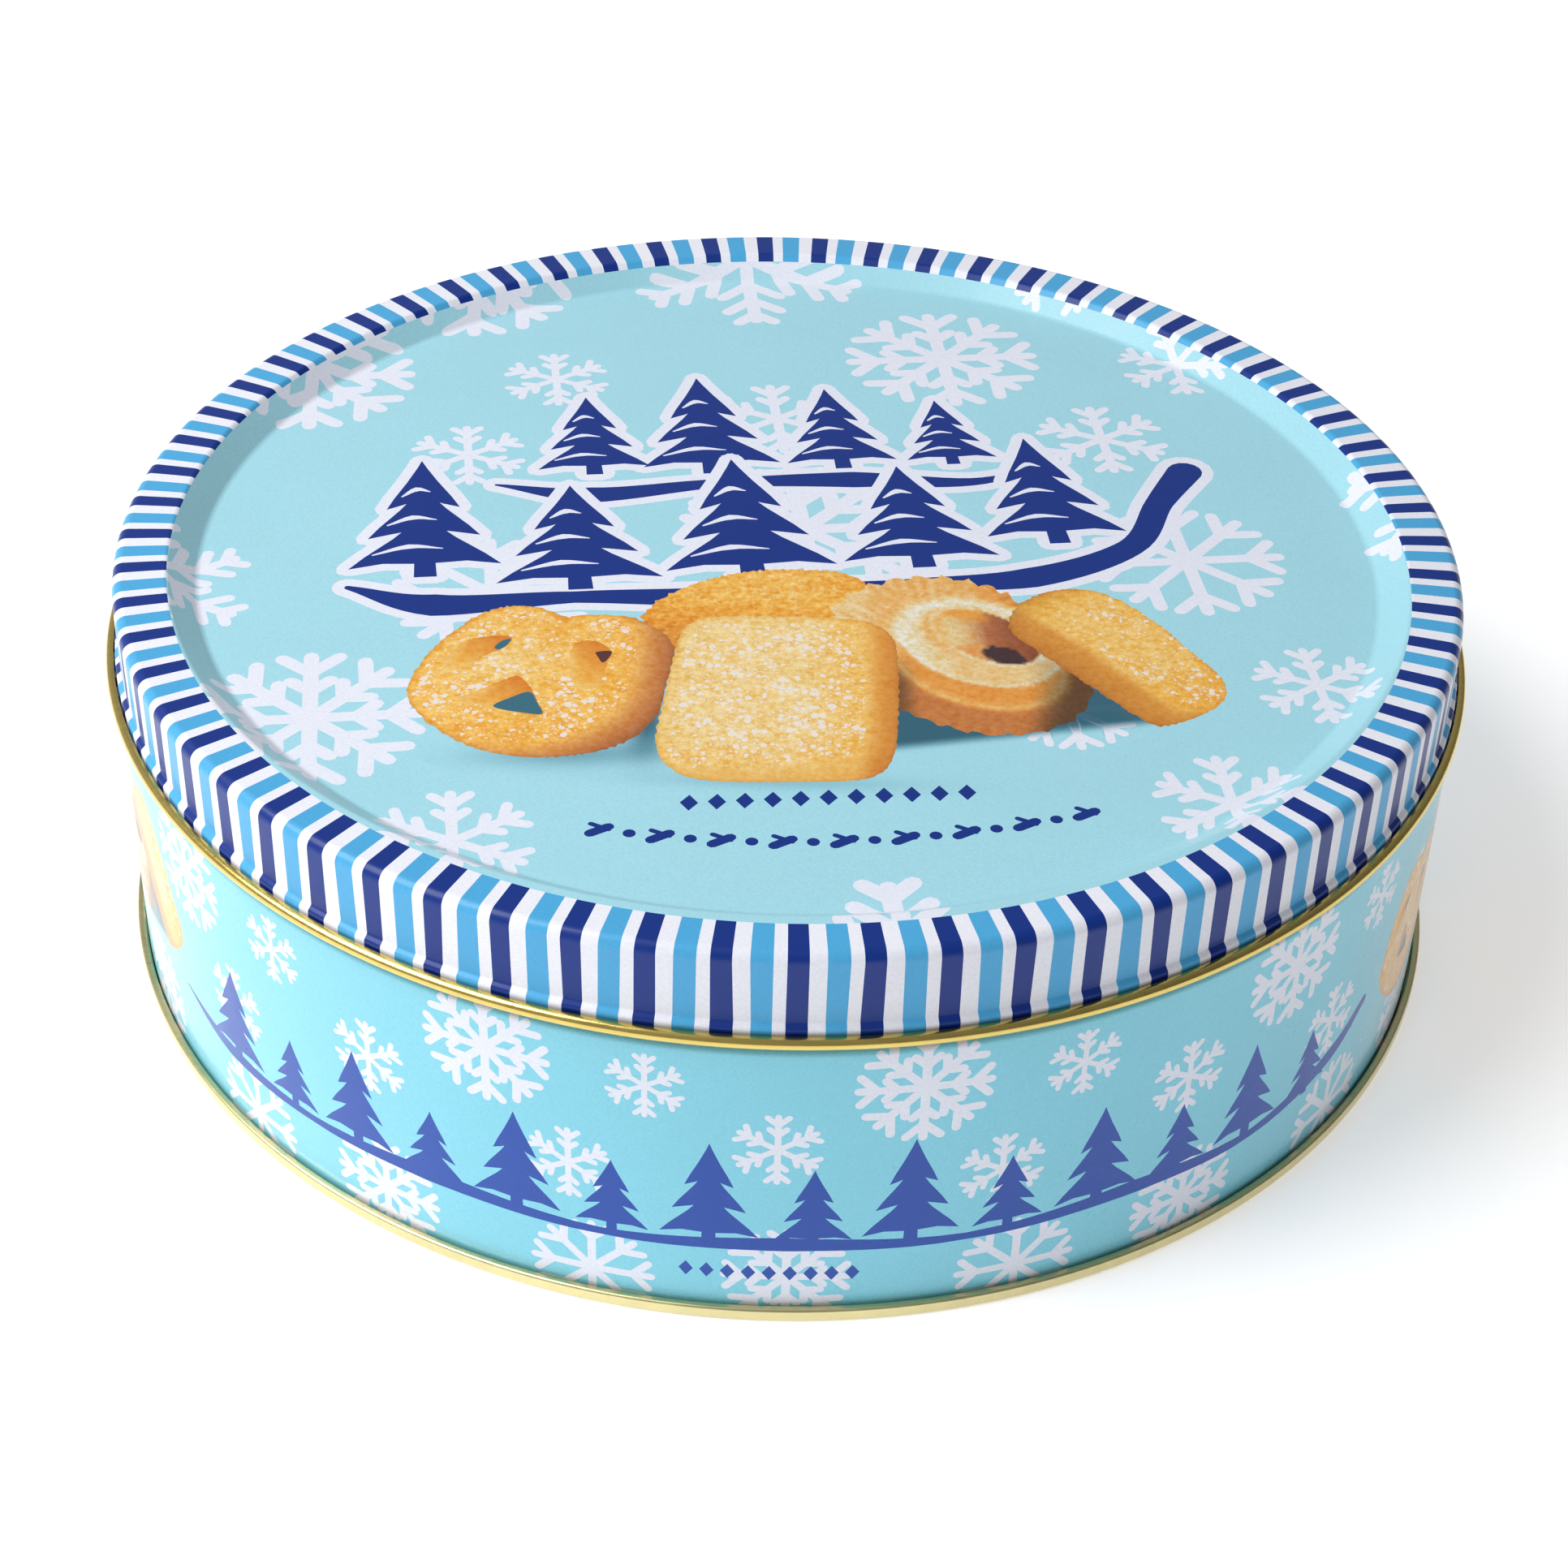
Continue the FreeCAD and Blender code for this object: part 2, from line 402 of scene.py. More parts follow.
OBLONG_FACE = blob([
    (31.4, -13.4), (34.2, -9.8), (37.4, -7.8), (42.4, -7.2), (47.6, -9.2), (53.4, -16), (58.2, -24),
    (61.8, -31), (61.8, -35.8), (58.8, -39.0), (54.4, -39.4), (51.4, -37.4), (46.0, -30.0),
    (42.2, -25.2), (38.4, -21.0), (34.6, -17.0)])


def rough(outline, size, step=0.45):
    """The same outline with a crumbly edge."""
    out = []
    for i in range(len(outline)):
        a, b = np.array(outline[i - 1]), np.array(outline[i])
        run = b - a
        parts = max(1, int(np.hypot(*run) / step))
        side = np.array([-run[1], run[0]]) / max(np.hypot(*run), 1e-9)
        for k in range(parts):
            p = a + run * k / parts
            w = math.sin(5.1 * p[0] + 2.3 * p[1]) + math.sin(3.7 * p[1] - 7.9 * p[0] + 1.0)
            out.append(tuple(p + side * size * 0.5 * w))
    return out


def ring_outline():
    """The piped ring cookie: its edge is scalloped, coarsely above and finely below."""
    smooth = blob([(6.0, -18.6), (7.4, -14.2), (11.4, -10.2), (16.6, -7.6), (23.0, -7.2), (29.2, -9.4),
                   (33.0, -13.2), (37.2, -21), (41.2, -29), (41.8, -36), (39.2, -41.6), (34.6, -44.8),
                   (29.4, -46.0), (24.0, -45.2), (19.0, -42.8), (13.4, -38.6), (9.6, -30), (6.8, -24)], 9)
    out = []
    for k, (x, y) in enumerate(smooth):
        bearing = math.atan2(y + 26, x - 25)
        depth = 0.55 * math.sin(34 * bearing) + 0.25 * math.sin(59 * bearing + 1)
        if y < -24:
            depth *= 0.5
        out.append((x + depth * math.cos(bearing), y + depth * math.sin(bearing)))
    return out


RING = ring_outline()
PATCH = blob([
    (-55, -36), (-50, -22), (-40, -14.5), (-28, -15), (-20, -9), (-4, -3.2), (14, -3.8), (28, -3.8),
    (42, -6), (54, -14), (64, -29), (66, -42), (59, -52), (40, -57), (20, -61), (0, -63), (-20, -62),
    (-40, -59), (-53, -50)])

DARK_TEAL = (30, 76, 94)


def shade_under(x, y):
    """How dark the ground print is near the cookies: 0 away from them, 1 at the darkest."""
    s = 0.95 * spot(x, y, -18.2, -45.6, 2.6, 6.0) + 0.42 * spot(x, y, -27.0, -53.0, 12.0, 2.6, 0.08)
    s += 0.22 * spot(x, y, 0.0, -58.2, 17.0, 2.2)
    cast = y + 50.6 - 0.22 * (x - 15.3)
    s += 1.02 * soft(cast, -0.2, 2.6) * soft(53.0 - x, 0, 5) * soft(x, 9, 11) * soft(-y, 28, 34)
    fade = soft(64.0 - x, 0, 7) * soft(x + 54.5, 0, 5) * soft(y + 61.5, 0, 4)
    return np.clip(s, 0, 1) * fade


# A paint gives the sRGB colour, the sugar and the crumb at points of the artwork.


def ground(ink):
    """An ink that darkens in the shadow under the cookies."""
    base = np.array(INKS[ink], float)

    def paint(x, y):
        s = shade_under(x, y)
        return mix(base, np.array(DARK_TEAL) + 0.06 * base, s * 0.94), 0 * x, 0 * x
    return paint


def even(rgb):
    """One even colour."""
    def paint(x, y):
        return np.tile(np.array(rgb, float), (len(x), 1)), 0 * x, 0 * x
    return paint


def mottle(x, y):
    """Uneven baking, between about -1 and 1."""
    return 0.6 * crumb(x, y, 5.3) + 0.4 * crumb(y - 3, x + 5, 2.9)


def square_paint(x, y):
    """Pale and sugared; its right side and, thinly, its lower side are seen."""
    out = beyond(x, y, SQUARE_FACE)
    rim = edge_distance(x, y, SQUARE)
    tone = 0.842 + 0.022 * mottle(x, y) - 0.085 * soft(x, 1, 11) - 0.04 * (1 - soft(rim, 0, 1.6))
    tone -= 0.06 * soft(-y, 47, 55)
    wall = ramp(out, (-1.2, (229, 188, 112)), (0.4, (225, 164, 78)), (2.0, (214, 143, 58)),
                (4.2, (202, 127, 53)))
    low = ramp(out, (-0.5, (229, 190, 116)), (1.2, (229, 182, 98)), (3.4, (226, 168, 82)))
    t = soft(-y, 51.5, 54.0) * soft(12.8 - x, 0, 4)
    wall = wall * (1 - t[:, None]) + low * t[:, None]
    c = mix(ramp(tone, *CRUST), wall, soft(out, -1.6, 1.0))
    c = c * (0.93 + 0.07 * soft(rim, 0, 0.5))[:, None]
    return c, 0.92 * (1 - soft(out, -1.6, 0.8)) * soft(rim, 0.2, 2.2) + 0.06, 1 - 0.4 * soft(out, -1, 1)


def oblong_paint(x, y):
    """Domed, sugared along its crown, with its near side in view."""
    out = beyond(x, y, OBLONG_FACE)
    rim = edge_distance(x, y, OBLONG)
    along = (x - 38) * 0.66 - (y + 15) * 0.75
    tone = 0.775 + 0.03 * mottle(x, y) - 0.10 * (1 - soft(along, -5, 3)) - 0.07 * soft(along, 18, 27)
    tone -= 0.05 * (1 - soft(rim, 0, 2.0))
    wall = ramp(out, (-1.0, (226, 172, 86)), (0.8, (212, 146, 60)), (3.0, (204, 136, 54)),
                (6.5, (188, 116, 44)))
    c = mix(ramp(tone, *CRUST), wall, soft(out, -1.5, 0.9))
    c = c * (1 - 0.10 * (1 - soft(along, -6, 1)) - 0.07 * (1 - soft(rim, 0, 0.5)))[:, None]
    sugar = 1.05 * (1 - soft(out, -2.2, 0.2)) * soft(along, -3, 4) * (0.75 + 0.25 * mottle(x, y))
    return c, sugar + 0.03, 1 - 0.3 * soft(out, -1, 1)


def pretzel_paint(x, y):
    """Two looped strands, their right side in view."""
    out = beyond(x, y, PRETZEL_FACE)
    rim = edge_distance(x, y, PRETZEL)
    crease = crest(x + 0.12 * (y + 21), -31.4, 0.9) * soft(y, -26.0, -21.0)
    tone = 0.74 + 0.035 * mottle(x, y) - 0.12 * crease + 0.08 * spot(x, y, -38.5, -31.5, 6.0, 5.0)
    tone -= 0.06 * (1 - soft(rim, 0, 1.8))
    tone -= 0.05 * soft(-y, 41, 50) + 0.05 * soft(x, -27, -21)
    wall = ramp(out, (-1.2, (228, 174, 92)), (0.8, (214, 148, 76)), (2.8, (192, 120, 62)),
                (5.0, (162, 96, 56)))
    c = mix(ramp(tone, *CRUST), wall, soft(out, -2.2, 1.2))
    c = c * (0.92 + 0.08 * soft(rim, 0, 0.6))[:, None]
    return c, 0.9 * (1 - soft(out, -1.8, 0.6)) * soft(rim, 0.2, 1.4), 1.15 - 0.3 * soft(out, -1, 1)


def hole_wall(hole):
    """The inside of an opening: its left wall is lit and blends into the strand."""
    outline = blob(hole)
    cx, cy = np.mean(np.array(outline), axis=0)

    def paint(x, y):
        d = edge_distance(x, y, outline)
        t = np.clip(0.42 + 0.10 * (x - cx) + 0.085 * (y - cy), 0, 1)
        c = mix((232, 174, 74), (211, 126, 40), t)
        left = soft((cx - x) * 0.8 + (cy - y) * 0.5, -1.0, 2.0)
        c = mix(c, (229, 182, 100), left * (1 - soft(d, 0.0, 1.8)))
        return c, 0.15 * left, 0.7 + 0 * x
    return paint


def oval_face(x, y):
    """A pressed biscuit with a knobbly surface."""
    def height(x, y):
        knobs = crumb(x, y, 2.3) + 0.7 * crumb(y + 4, x, 1.5) + 0.6 * crumb(x + y, y - x, 3.7)
        return 0.11 * knobs
    shade = lit(x, y, height)
    d = edge_distance(x, y, OVAL)
    tone = 0.735 + 0.36 * (shade - 0.72) - 0.05 * (1 - soft(d, 0, 1.2)) - 0.09 * soft(-y, 13.0, 19.5)
    tone -= 0.12 * spot(x, y, -17, -24, 6, 4) + 0.10 * soft(x, 3, 10) * soft(y, -14, -8)
    return ramp(tone, *CRUST), 0.10 + 0 * x, 1.25 + 0 * x


def ring_place(x, y, cx, cy, a, b, turn):
    """Elliptic radius and bearing of a point in a tilted ring."""
    t = math.radians(turn)
    u = (x - cx) * math.cos(t) + (y - cy) * math.sin(t)
    v = -(x - cx) * math.sin(t) + (y - cy) * math.cos(t)
    return np.hypot(u / a, v / b), np.arctan2(v / b, u / a)


def ring_face(x, y):
    """The piped ring: a ruffled flange, the pale piped band, its funnel, and the side below."""
    rim, w = ring_place(x, y, 26.8, -24.0, 12.2, 9.4, -38)
    lip, _ = ring_place(x, y, 28.0, -22.2, 8.7, 5.4, -41)
    low, v = ring_place(x, y, 26.6, -29.0, 12.6, 9.6, -36)
    below = soft(-(y + 24) - 0.18 * (x - 26.8), 0.5, 3.5)
    upper_left = soft(-(x - 26.8) * 0.75 + (y + 24) * 0.65, -4.0, 6.0)
    # the flange: ruffles in two rows, browner to the right
    wave = 23 * w + 1.6 * np.sin(2.2 * w) + 5 * rim
    ruffle = np.abs(np.sin(wave)) ** 0.7 * soft(rim, 1.06, 1.3) + 0.5 * np.sin(1.7 * wave + 9 * rim)
    flange = 0.63 + 0.09 * ruffle + 0.20 * (1 - soft(rim, 1.02, 1.24)) + 0.03 * mottle(x, y)
    flange += 0.10 * soft(14 - x, 0, 5)
    flange -= 0.15 * soft(x, 24, 31) * soft(y, -19, -14) * soft(rim, 1.05, 1.25)
    # the side under the band: an orange hollow, a faint ridge and the fluted foot
    side = 0.545 - 0.03 * soft(low, 0.8, 1.0) + 0.17 * crest(low, 1.0, 0.045)
    side += 0.05 * crest(low, 0.93, 0.08) - 0.10 * soft(low, 1.02, 1.12)
    side += (0.016 * np.sin(50 * v) - 0.02) * soft(low, 1.06, 1.2)
    tone = flange * (1 - below) + side * below
    # the piped band between the rim line and the lip of the funnel
    q = (1 - rim) / np.maximum((1 - rim) + 0.75 * (lip - 1), 1e-3)
    sheen = 0.15 * (1 - soft(q, 0.25, 0.75)) - 0.10 * soft(q, 0.5, 0.85)
    band = 0.775 + 0.03 * mottle(x, y) + upper_left * sheen
    on_band = soft(1.015 - rim, 0.0, 0.03)
    tone = tone * (1 - on_band) + band * on_band
    tone += 0.20 * crest(rim, 0.985, 0.038)
    tone += 0.08 * upper_left * crest(rim, 0.95, 0.10)
    tone += 0.17 * crest(lip, 1.03, 0.045)
    c = ramp(tone, (0.15, (112, 72, 50)), (0.40, (194, 120, 62)), (0.55, (223, 149, 65)),
             (0.70, (227, 177, 106)), (0.84, (226, 203, 152)), (1.0, (226, 217, 192)))
    # the funnel: its lit wall is on the left, the shaded one on the right
    g = (x - 28.0) * 0.8 + (y + 22.2) * 0.12
    deep = ramp(g, (-5.5, (227, 172, 88)), (-3.8, (224, 200, 146)), (-1.8, (214, 172, 114)),
                (0.2, (174, 106, 66)), (2.4, (152, 86, 53)), (5.0, (138, 74, 47)))
    upper = soft(y + 22.2 - 0.25 * (28 - x), 2.0, 5.0) * soft(29.5 - x, 0, 3)
    lower = soft(-(y + 23.6) + 0.3 * (x - 24), 0.3, 2.6) * soft(29.0 - x, 0, 3)
    deep = mix(mix(deep, (226, 154, 64), upper), (222, 152, 82), lower)
    c = mix(c, deep, soft(1.0 - lip, 0.0, 0.05))
    hole, _ = ring_place(x, y, 30.5, -27.0, 3.5, 2.0, -31)
    jag = 0.07 * np.sin(3.1 * x + 2.0 * y)
    c = mix(c, (64, 43, 45), soft(1.04 - hole + jag, 0.0, 0.12) * soft(0.985 - lip, 0.0, 0.03))
    gloom = 0.36 * soft(x - 35.0 - 0.30 * (y + 32), 0.0, 6.0)
    gloom += 0.40 * soft(18.8 - x, 0, 3.6) * soft(-y, 26, 36)
    gloom += 0.15 * soft(x - 32.5, 0, 4) * soft(-y, 24, 28)
    return c * (1 - np.clip(gloom, 0, 0.7)[:, None] * np.array([1.0, 0.9, 0.75])), 0 * x, 0.8 + 0 * x


def cookie_shapes():
    """The printed cookies from back to front: outline, then the paint that fills it."""
    out = [(rough(OVAL, 0.42), oval_face), (rough(RING, 0.18), ring_face),
           (rough(OBLONG, 0.22), oblong_paint), (rough(PRETZEL, 0.24), pretzel_paint)]
    for hole, see, seen in PRETZEL_HOLES:
        out.append((rough(blob(hole), 0.14), hole_wall(hole)))
        out.append((blob(see), even(seen)))
    out.append((rough(SQUARE, 0.16), square_paint))
    return out


# ---------------------------------------------------------------- triangulating a print


def doubled_area(outline):
    """Twice the area inside an outline, positive if it runs anticlockwise."""
    o = np.asarray(outline, float)
    n = np.roll(o, -1, axis=0)
    return float(np.sum(o[:, 0] * n[:, 1] - n[:, 0] * o[:, 1]))


def triangulate(layers, lines, loose):
    """Cuts a flat print into triangles along every outline.

    layers are (outline, ink) from the bottom up, lines are rows of points that must be
    kept as edges and loose are single points. Returns points, triangles and their inks.
    """
    pts, edges, faces = [], [], []
    for outline, _ in layers:
        base = len(pts)
        if doubled_area(outline) < 0:
            outline = outline[::-1]
        pts += [Vector((float(x), float(y))) for x, y in outline]
        faces.append(list(range(base, base + len(outline))))
    for line, closed in lines:
        base = len(pts)
        pts += [Vector((float(x), float(y))) for x, y in line]
        edges += [(base + i, base + i + 1) for i in range(len(line) - 1)]
        if closed:
            edges.append((base + len(line) - 1, base))
    pts += [Vector((float(x), float(y))) for x, y in loose]
    co, _, tris, _, _, owner = delaunay_2d_cdt(pts, edges, faces, 0, 1e-5, True)
    co = np.array([(v.x, v.y) for v in co])
    keep, inks = [], []
    for tri, own in zip(tris, owner):
        if 0 not in own:
            continue
        a, b, c = (co[i] for i in tri)
        if abs((b[0] - a[0]) * (c[1] - a[1]) - (b[1] - a[1]) * (c[0] - a[0])) < 1e-9:
            continue
        keep.append(tuple(tri))
        inks.append(layers[max(own)][1])
    return co, np.array(keep), inks


def add_piece(name, mesh):
    piece = bpy.data.objects.new(name, mesh)
    bpy.context.scene.collection.objects.link(piece)
    return piece


def store(mesh, name, kind, key, values):
    """Writes one attribute of every face corner."""
    mesh.attributes.new(name, kind, "CORNER").data.foreach_set(key, values.reshape(-1))


def printed_mesh(name, flat, place, tris, inks, to_art, atlas, material):
    """A print laid on a sheet of revolution.

    flat are points on the unrolled sheet, place gives position and normal in the tin,
    to_art the artwork's own coordinates for the paints, atlas the place in the texture.
    """
    used, back = np.unique(tris, return_inverse=True)
    tris = back.reshape(-1, 3)
    flat = flat[used]
    co, normal = place(flat)
    mesh = bpy.data.meshes.new(name)
    mesh.from_pydata((co * MM).tolist(), [], tris.tolist())
    mesh.polygons.foreach_set("use_smooth", np.ones(len(tris), bool))
    corner = tris.reshape(-1)
    colour = np.ones((len(corner), 4), np.float32)
    grain = np.zeros(len(corner), np.float32)
    sugar = np.zeros(len(corner), np.float32)
    art = to_art(flat)[corner]
    by_ink = {}
    for i, ink in enumerate(inks):
        by_ink.setdefault(ink, []).append(i)
    for ink, which in by_ink.items():
        c = (np.array(which)[:, None] * 3 + np.arange(3)).reshape(-1)
        paint = ink if callable(ink) else even(INKS[ink])
        rgb, sug, gra = paint(art[c, 0], art[c, 1])
        colour[c, :3] = linear(np.clip(rgb, 0, 255))
        sugar[c] = sug
        grain[c] = gra
    store(mesh, "ink", "FLOAT_COLOR", "color", colour)
    store(mesh, "sugar", "FLOAT", "value", sugar)
    store(mesh, "grain", "FLOAT", "value", grain)
    uv = mesh.uv_layers.new(name="OFBake")
    uv.data.foreach_set("uv", atlas(flat, tris).reshape(-1).astype(np.float32))
    mesh.materials.append(material)
    mesh.validate()
    mesh.normals_split_custom_set_from_vertices(normal.tolist())
    return add_piece(name, mesh)


def spun(name, rows, material, columns=None, wobble=None, ink=None):
    """A sheet face of revolution. columns are its bearings; ink colours each column."""
    if columns is None:
        columns = np.arange(SPIN) * 2 * math.pi / SPIN
    n, m = len(columns), len(rows)
    co, normal = [], []
    for j in range(m):
        r, z, nr, nz = rows[j]
        a = columns if wobble is None else columns + wobble[j]
        co.append(np.stack([r * np.cos(a), r * np.sin(a), np.full(n, z)], 1))
        normal.append(np.stack([nr * np.cos(a), nr * np.sin(a), np.full(n, nz)], 1))
    co, normal = np.concatenate(co), np.concatenate(normal)
    faces, face_column = [], []
    for j in range(m - 1):
        for i in range(n):
            k = (i + 1) % n
            quad = [j * n + i, (j + 1) * n + i, (j + 1) * n + k, j * n + k]
            if rows[j][0] < 1e-6:
                quad = [j * n] + quad[1:3]
            faces.append(quad)
            face_column.append(i)
    mesh = bpy.data.meshes.new(name)
    mesh.from_pydata((co * MM).tolist(), [], faces)
    # the corners go round so that each face looks the way its normals point
    first = mesh.polygons[len(mesh.polygons) // 2]
    mesh.update()
    if np.dot(first.normal, normal[first.vertices[1]]) < 0:
        mesh.flip_normals()
    mesh.polygons.foreach_set("use_smooth", np.ones(len(faces), bool))
    s = run_length(rows)
    uv = mesh.uv_layers.new(name="OFBake")
    total = s[-1] + 1e-6
    loops = np.zeros((len(mesh.loops), 2))
    strips = max(1, int(round(math.sqrt(2 * math.pi * rows[:, 0].mean() / total))))
    for p in mesh.polygons:
        i = face_column[p.index]
        band = i * strips // n
        for c in p.loop_indices:
            v = mesh.loops[c].vertex_index
            j, col = divmod(v, n)
            if col < i:
                col += n
            across = (col - band * n / strips) / (n / strips)
            loops[c] = (0.005 + 0.99 * across, (band + 0.01 + 0.98 * s[j] / total) / strips)
    uv.data.foreach_set("uv", loops.reshape(-1).astype(np.float32))
    if ink is not None:
        colour = np.ones((len(mesh.loops), 4), np.float32)
        for p in mesh.polygons:
            colour[list(p.loop_indices), :3] = linear(INKS[ink[face_column[p.index]]])
        store(mesh, "ink", "FLOAT_COLOR", "color", colour)
    mesh.materials.append(material)
    mesh.normals_split_custom_set_from_vertices(normal.tolist())
    return add_piece(name, mesh)


# ---------------------------------------------------------------- materials


def new_material(name):
    mat = bpy.data.materials.new(name)
    mat.use_nodes = True
    nt = mat.node_tree
    nt.nodes.clear()
    out = nt.nodes.new("ShaderNodeOutputMaterial")
    bsdf = nt.nodes.new("ShaderNodeBsdfPrincipled")
    nt.links.new(bsdf.outputs[0], out.inputs["Surface"])
    return mat, nt, bsdf


def node(nt, kind, **settings):
    n = nt.nodes.new(kind)
    for key, value in settings.items():
        if key.startswith("in_"):
            n.inputs[key[3:].replace("_", " ")].default_value = value
        else:
            setattr(n, key, value)
    return n


def noise(nt, coords, scale, detail=2.0, rough=0.5, stretch=None):
    if stretch is not None:
        m = nt.nodes.new("ShaderNodeMapping")
        m.inputs["Scale"].default_value = stretch
        nt.links.new(coords, m.inputs["Vector"])
        coords = m.outputs[0]
    n = node(nt, "ShaderNodeTexNoise", in_Scale=scale, in_Detail=detail, in_Roughness=rough)
    nt.links.new(coords, n.inputs["Vector"])
    return n.outputs["Fac"]


def spread(nt, value, low, high, to_low=0.0, to_high=1.0):
    """A map from low..high to to_low..to_high."""
    n = nt.nodes.new("ShaderNodeMapRange")
    for key, v in (("From Min", low), ("From Max", high), ("To Min", to_low), ("To Max", to_high)):
        n.inputs[key].default_value = v
    nt.links.new(value, n.inputs["Value"])
    return n.outputs[0]


def maths(nt, kind, a, b):
    n = nt.nodes.new("ShaderNodeMath")
    n.operation = kind
    for socket, v in zip(n.inputs, (a, b)):
        if isinstance(v, (int, float)):
            socket.default_value = v
        else:
            nt.links.new(v, socket)
    return n.outputs[0]


def blend_colour(nt, kind, fac, a, b):
    n = nt.nodes.new("ShaderNodeMix")
    n.data_type = "RGBA"
    n.blend_type = kind
    for socket, v in ((n.inputs["Factor"], fac), (n.inputs[6], a), (n.inputs[7], b)):
        if isinstance(v, (int, float, tuple)):
            socket.default_value = v
        else:
            nt.links.new(v, socket)
    return n.outputs[2]


def grey(nt, value):
    """A colour with value in all three channels."""
    n = nt.nodes.new("ShaderNodeCombineColor")
    for socket in n.inputs[:3]:
        nt.links.new(value, socket)
    return n.outputs[0]


def finish(nt, bsdf, coat, height):
    """The coat over a sheet, and the faint unevenness of its surface."""
    bsdf.inputs["Coat Weight"].default_value = coat
    bsdf.inputs["Coat Roughness"].default_value = 0.10
    b = node(nt, "ShaderNodeBump", in_Strength=0.06, in_Distance=0.0003)
    nt.links.new(height, b.inputs["Height"])
    nt.links.new(b.outputs[0], bsdf.inputs["Normal"])


def grains(nt, coords, scale, amount, small, large):
    """Scattered grains of uneven size; amount is how thickly they lie, from 0 to 1."""
    v = node(nt, "ShaderNodeTexVoronoi", in_Scale=scale)
    nt.links.new(coords, v.inputs["Vector"])
    pick = nt.nodes.new("ShaderNodeSeparateColor")
    nt.links.new(v.outputs["Color"], pick.inputs[0])
    size = spread(nt, pick.outputs[0], 0.0, 1.0, small, large)
    size = maths(nt, "MULTIPLY", size, amount)
    return spread(nt, maths(nt, "SUBTRACT", size, v.outputs["Distance"]), 0.0, 0.07)


def printed_tinplate(name, gloss, varnish, cookies=False):
    """Offset ink under varnish: the ink comes from the mesh, with a fine litho grain."""
    mat, nt, bsdf = new_material(name)
    coords = nt.nodes.new("ShaderNodeTexCoord").outputs["Object"]
    ink = node(nt, "ShaderNodeAttribute", attribute_name="ink").outputs["Color"]
    fine = noise(nt, coords, 2600.0, 1.0)
    wide = noise(nt, coords, 55.0, 2.0)
    value = maths(nt, "ADD", spread(nt, fine, 0.25, 0.75, 0.955, 1.045),
                  spread(nt, wide, 0.3, 0.7, -0.012, 0.012))
    colour = blend_colour(nt, "MULTIPLY", 1.0, ink, grey(nt, value))
    if cookies:
        # crumb and sugar change how yellow the crust is more than how light it is
        grain = node(nt, "ShaderNodeAttribute", attribute_name="grain").outputs["Fac"]
        crumbs = noise(nt, coords, 1150.0, 4.0, 0.68)
        lumps = noise(nt, coords, 420.0, 2.0, 0.5)
        level = maths(nt, "ADD", spread(nt, crumbs, 0.34, 0.66, -0.5, 0.5),
                      spread(nt, lumps, 0.3, 0.7, -0.2, 0.2))
        level = maths(nt, "MULTIPLY", level, grain)
        tint = nt.nodes.new("ShaderNodeCombineColor")
        for socket, reach in zip(tint.inputs[:3], (0.10, 0.30, 0.85)):
            nt.links.new(spread(nt, level, -0.7, 0.7, 1 - reach, 1 + reach), socket)
        colour = blend_colour(nt, "MULTIPLY", 1.0, colour, tint.outputs[0])
        sugar = node(nt, "ShaderNodeAttribute", attribute_name="sugar").outputs["Fac"]
        wander = node(nt, "ShaderNodeTexNoise", in_Scale=1500.0, in_Detail=1.0)
        nt.links.new(coords, wander.inputs["Vector"])
        shift = nt.nodes.new("ShaderNodeVectorMath")
        shift.operation = "MULTIPLY_ADD"
        nt.links.new(wander.outputs["Color"], shift.inputs[0])
        shift.inputs[1].default_value = (0.0006, 0.0006, 0.0006)
        nt.links.new(coords, shift.inputs[2])
        drift = spread(nt, noise(nt, coords, 190.0, 3.0), 0.36, 0.62, 0.55, 1.15)
        amount = maths(nt, "MULTIPLY", sugar, drift)
        big = grains(nt, shift.outputs[0], 900.0, amount, 0.12, 0.60)
        tiny = grains(nt, shift.outputs[0], 1800.0, amount, 0.10, 0.54)
        mask = maths(nt, "MAXIMUM", big, maths(nt, "MULTIPLY", tiny, 0.7))
        colour = blend_colour(nt, "MIX", maths(nt, "MULTIPLY", mask, 0.9), colour, (0.80, 0.74, 0.69, 1.0))
    nt.links.new(colour, bsdf.inputs["Base Color"])
    nt.links.new(spread(nt, noise(nt, coords, 240.0, 3.0), 0.3, 0.7, gloss - 0.04, gloss + 0.05),
                 bsdf.inputs["Roughness"])
    bsdf.inputs["Specular IOR Level"].default_value = 0.25
    finish(nt, bsdf, varnish, noise(nt, coords, 420.0, 3.0, 0.55))
    return mat


def gold_lacquer(name, colour, rough):
    """Tinplate under a gold lacquer, with the rolling grain of the steel."""
    mat, nt, bsdf = new_material(name)
    coords = nt.nodes.new("ShaderNodeTexCoord").outputs["Object"]
    grain = noise(nt, coords, 260.0, 4.0, 0.6, (0.12, 5.0, 1.0))
    cloud = noise(nt, coords, 38.0, 3.0)
    tone = maths(nt, "ADD", spread(nt, grain, 0.3, 0.7, 0.93, 1.05), spread(nt, cloud, 0.3, 0.7, -0.05, 0.05))
    base = (*linear(colour).tolist(), 1.0)
    nt.links.new(blend_colour(nt, "MULTIPLY", 1.0, base, grey(nt, tone)), bsdf.inputs["Base Color"])
    bsdf.inputs["Metallic"].default_value = 1.0
    nt.links.new(spread(nt, grain, 0.25, 0.75, rough - 0.05, rough + 0.09), bsdf.inputs["Roughness"])
    finish(nt, bsdf, 0.25, grain)
    return mat


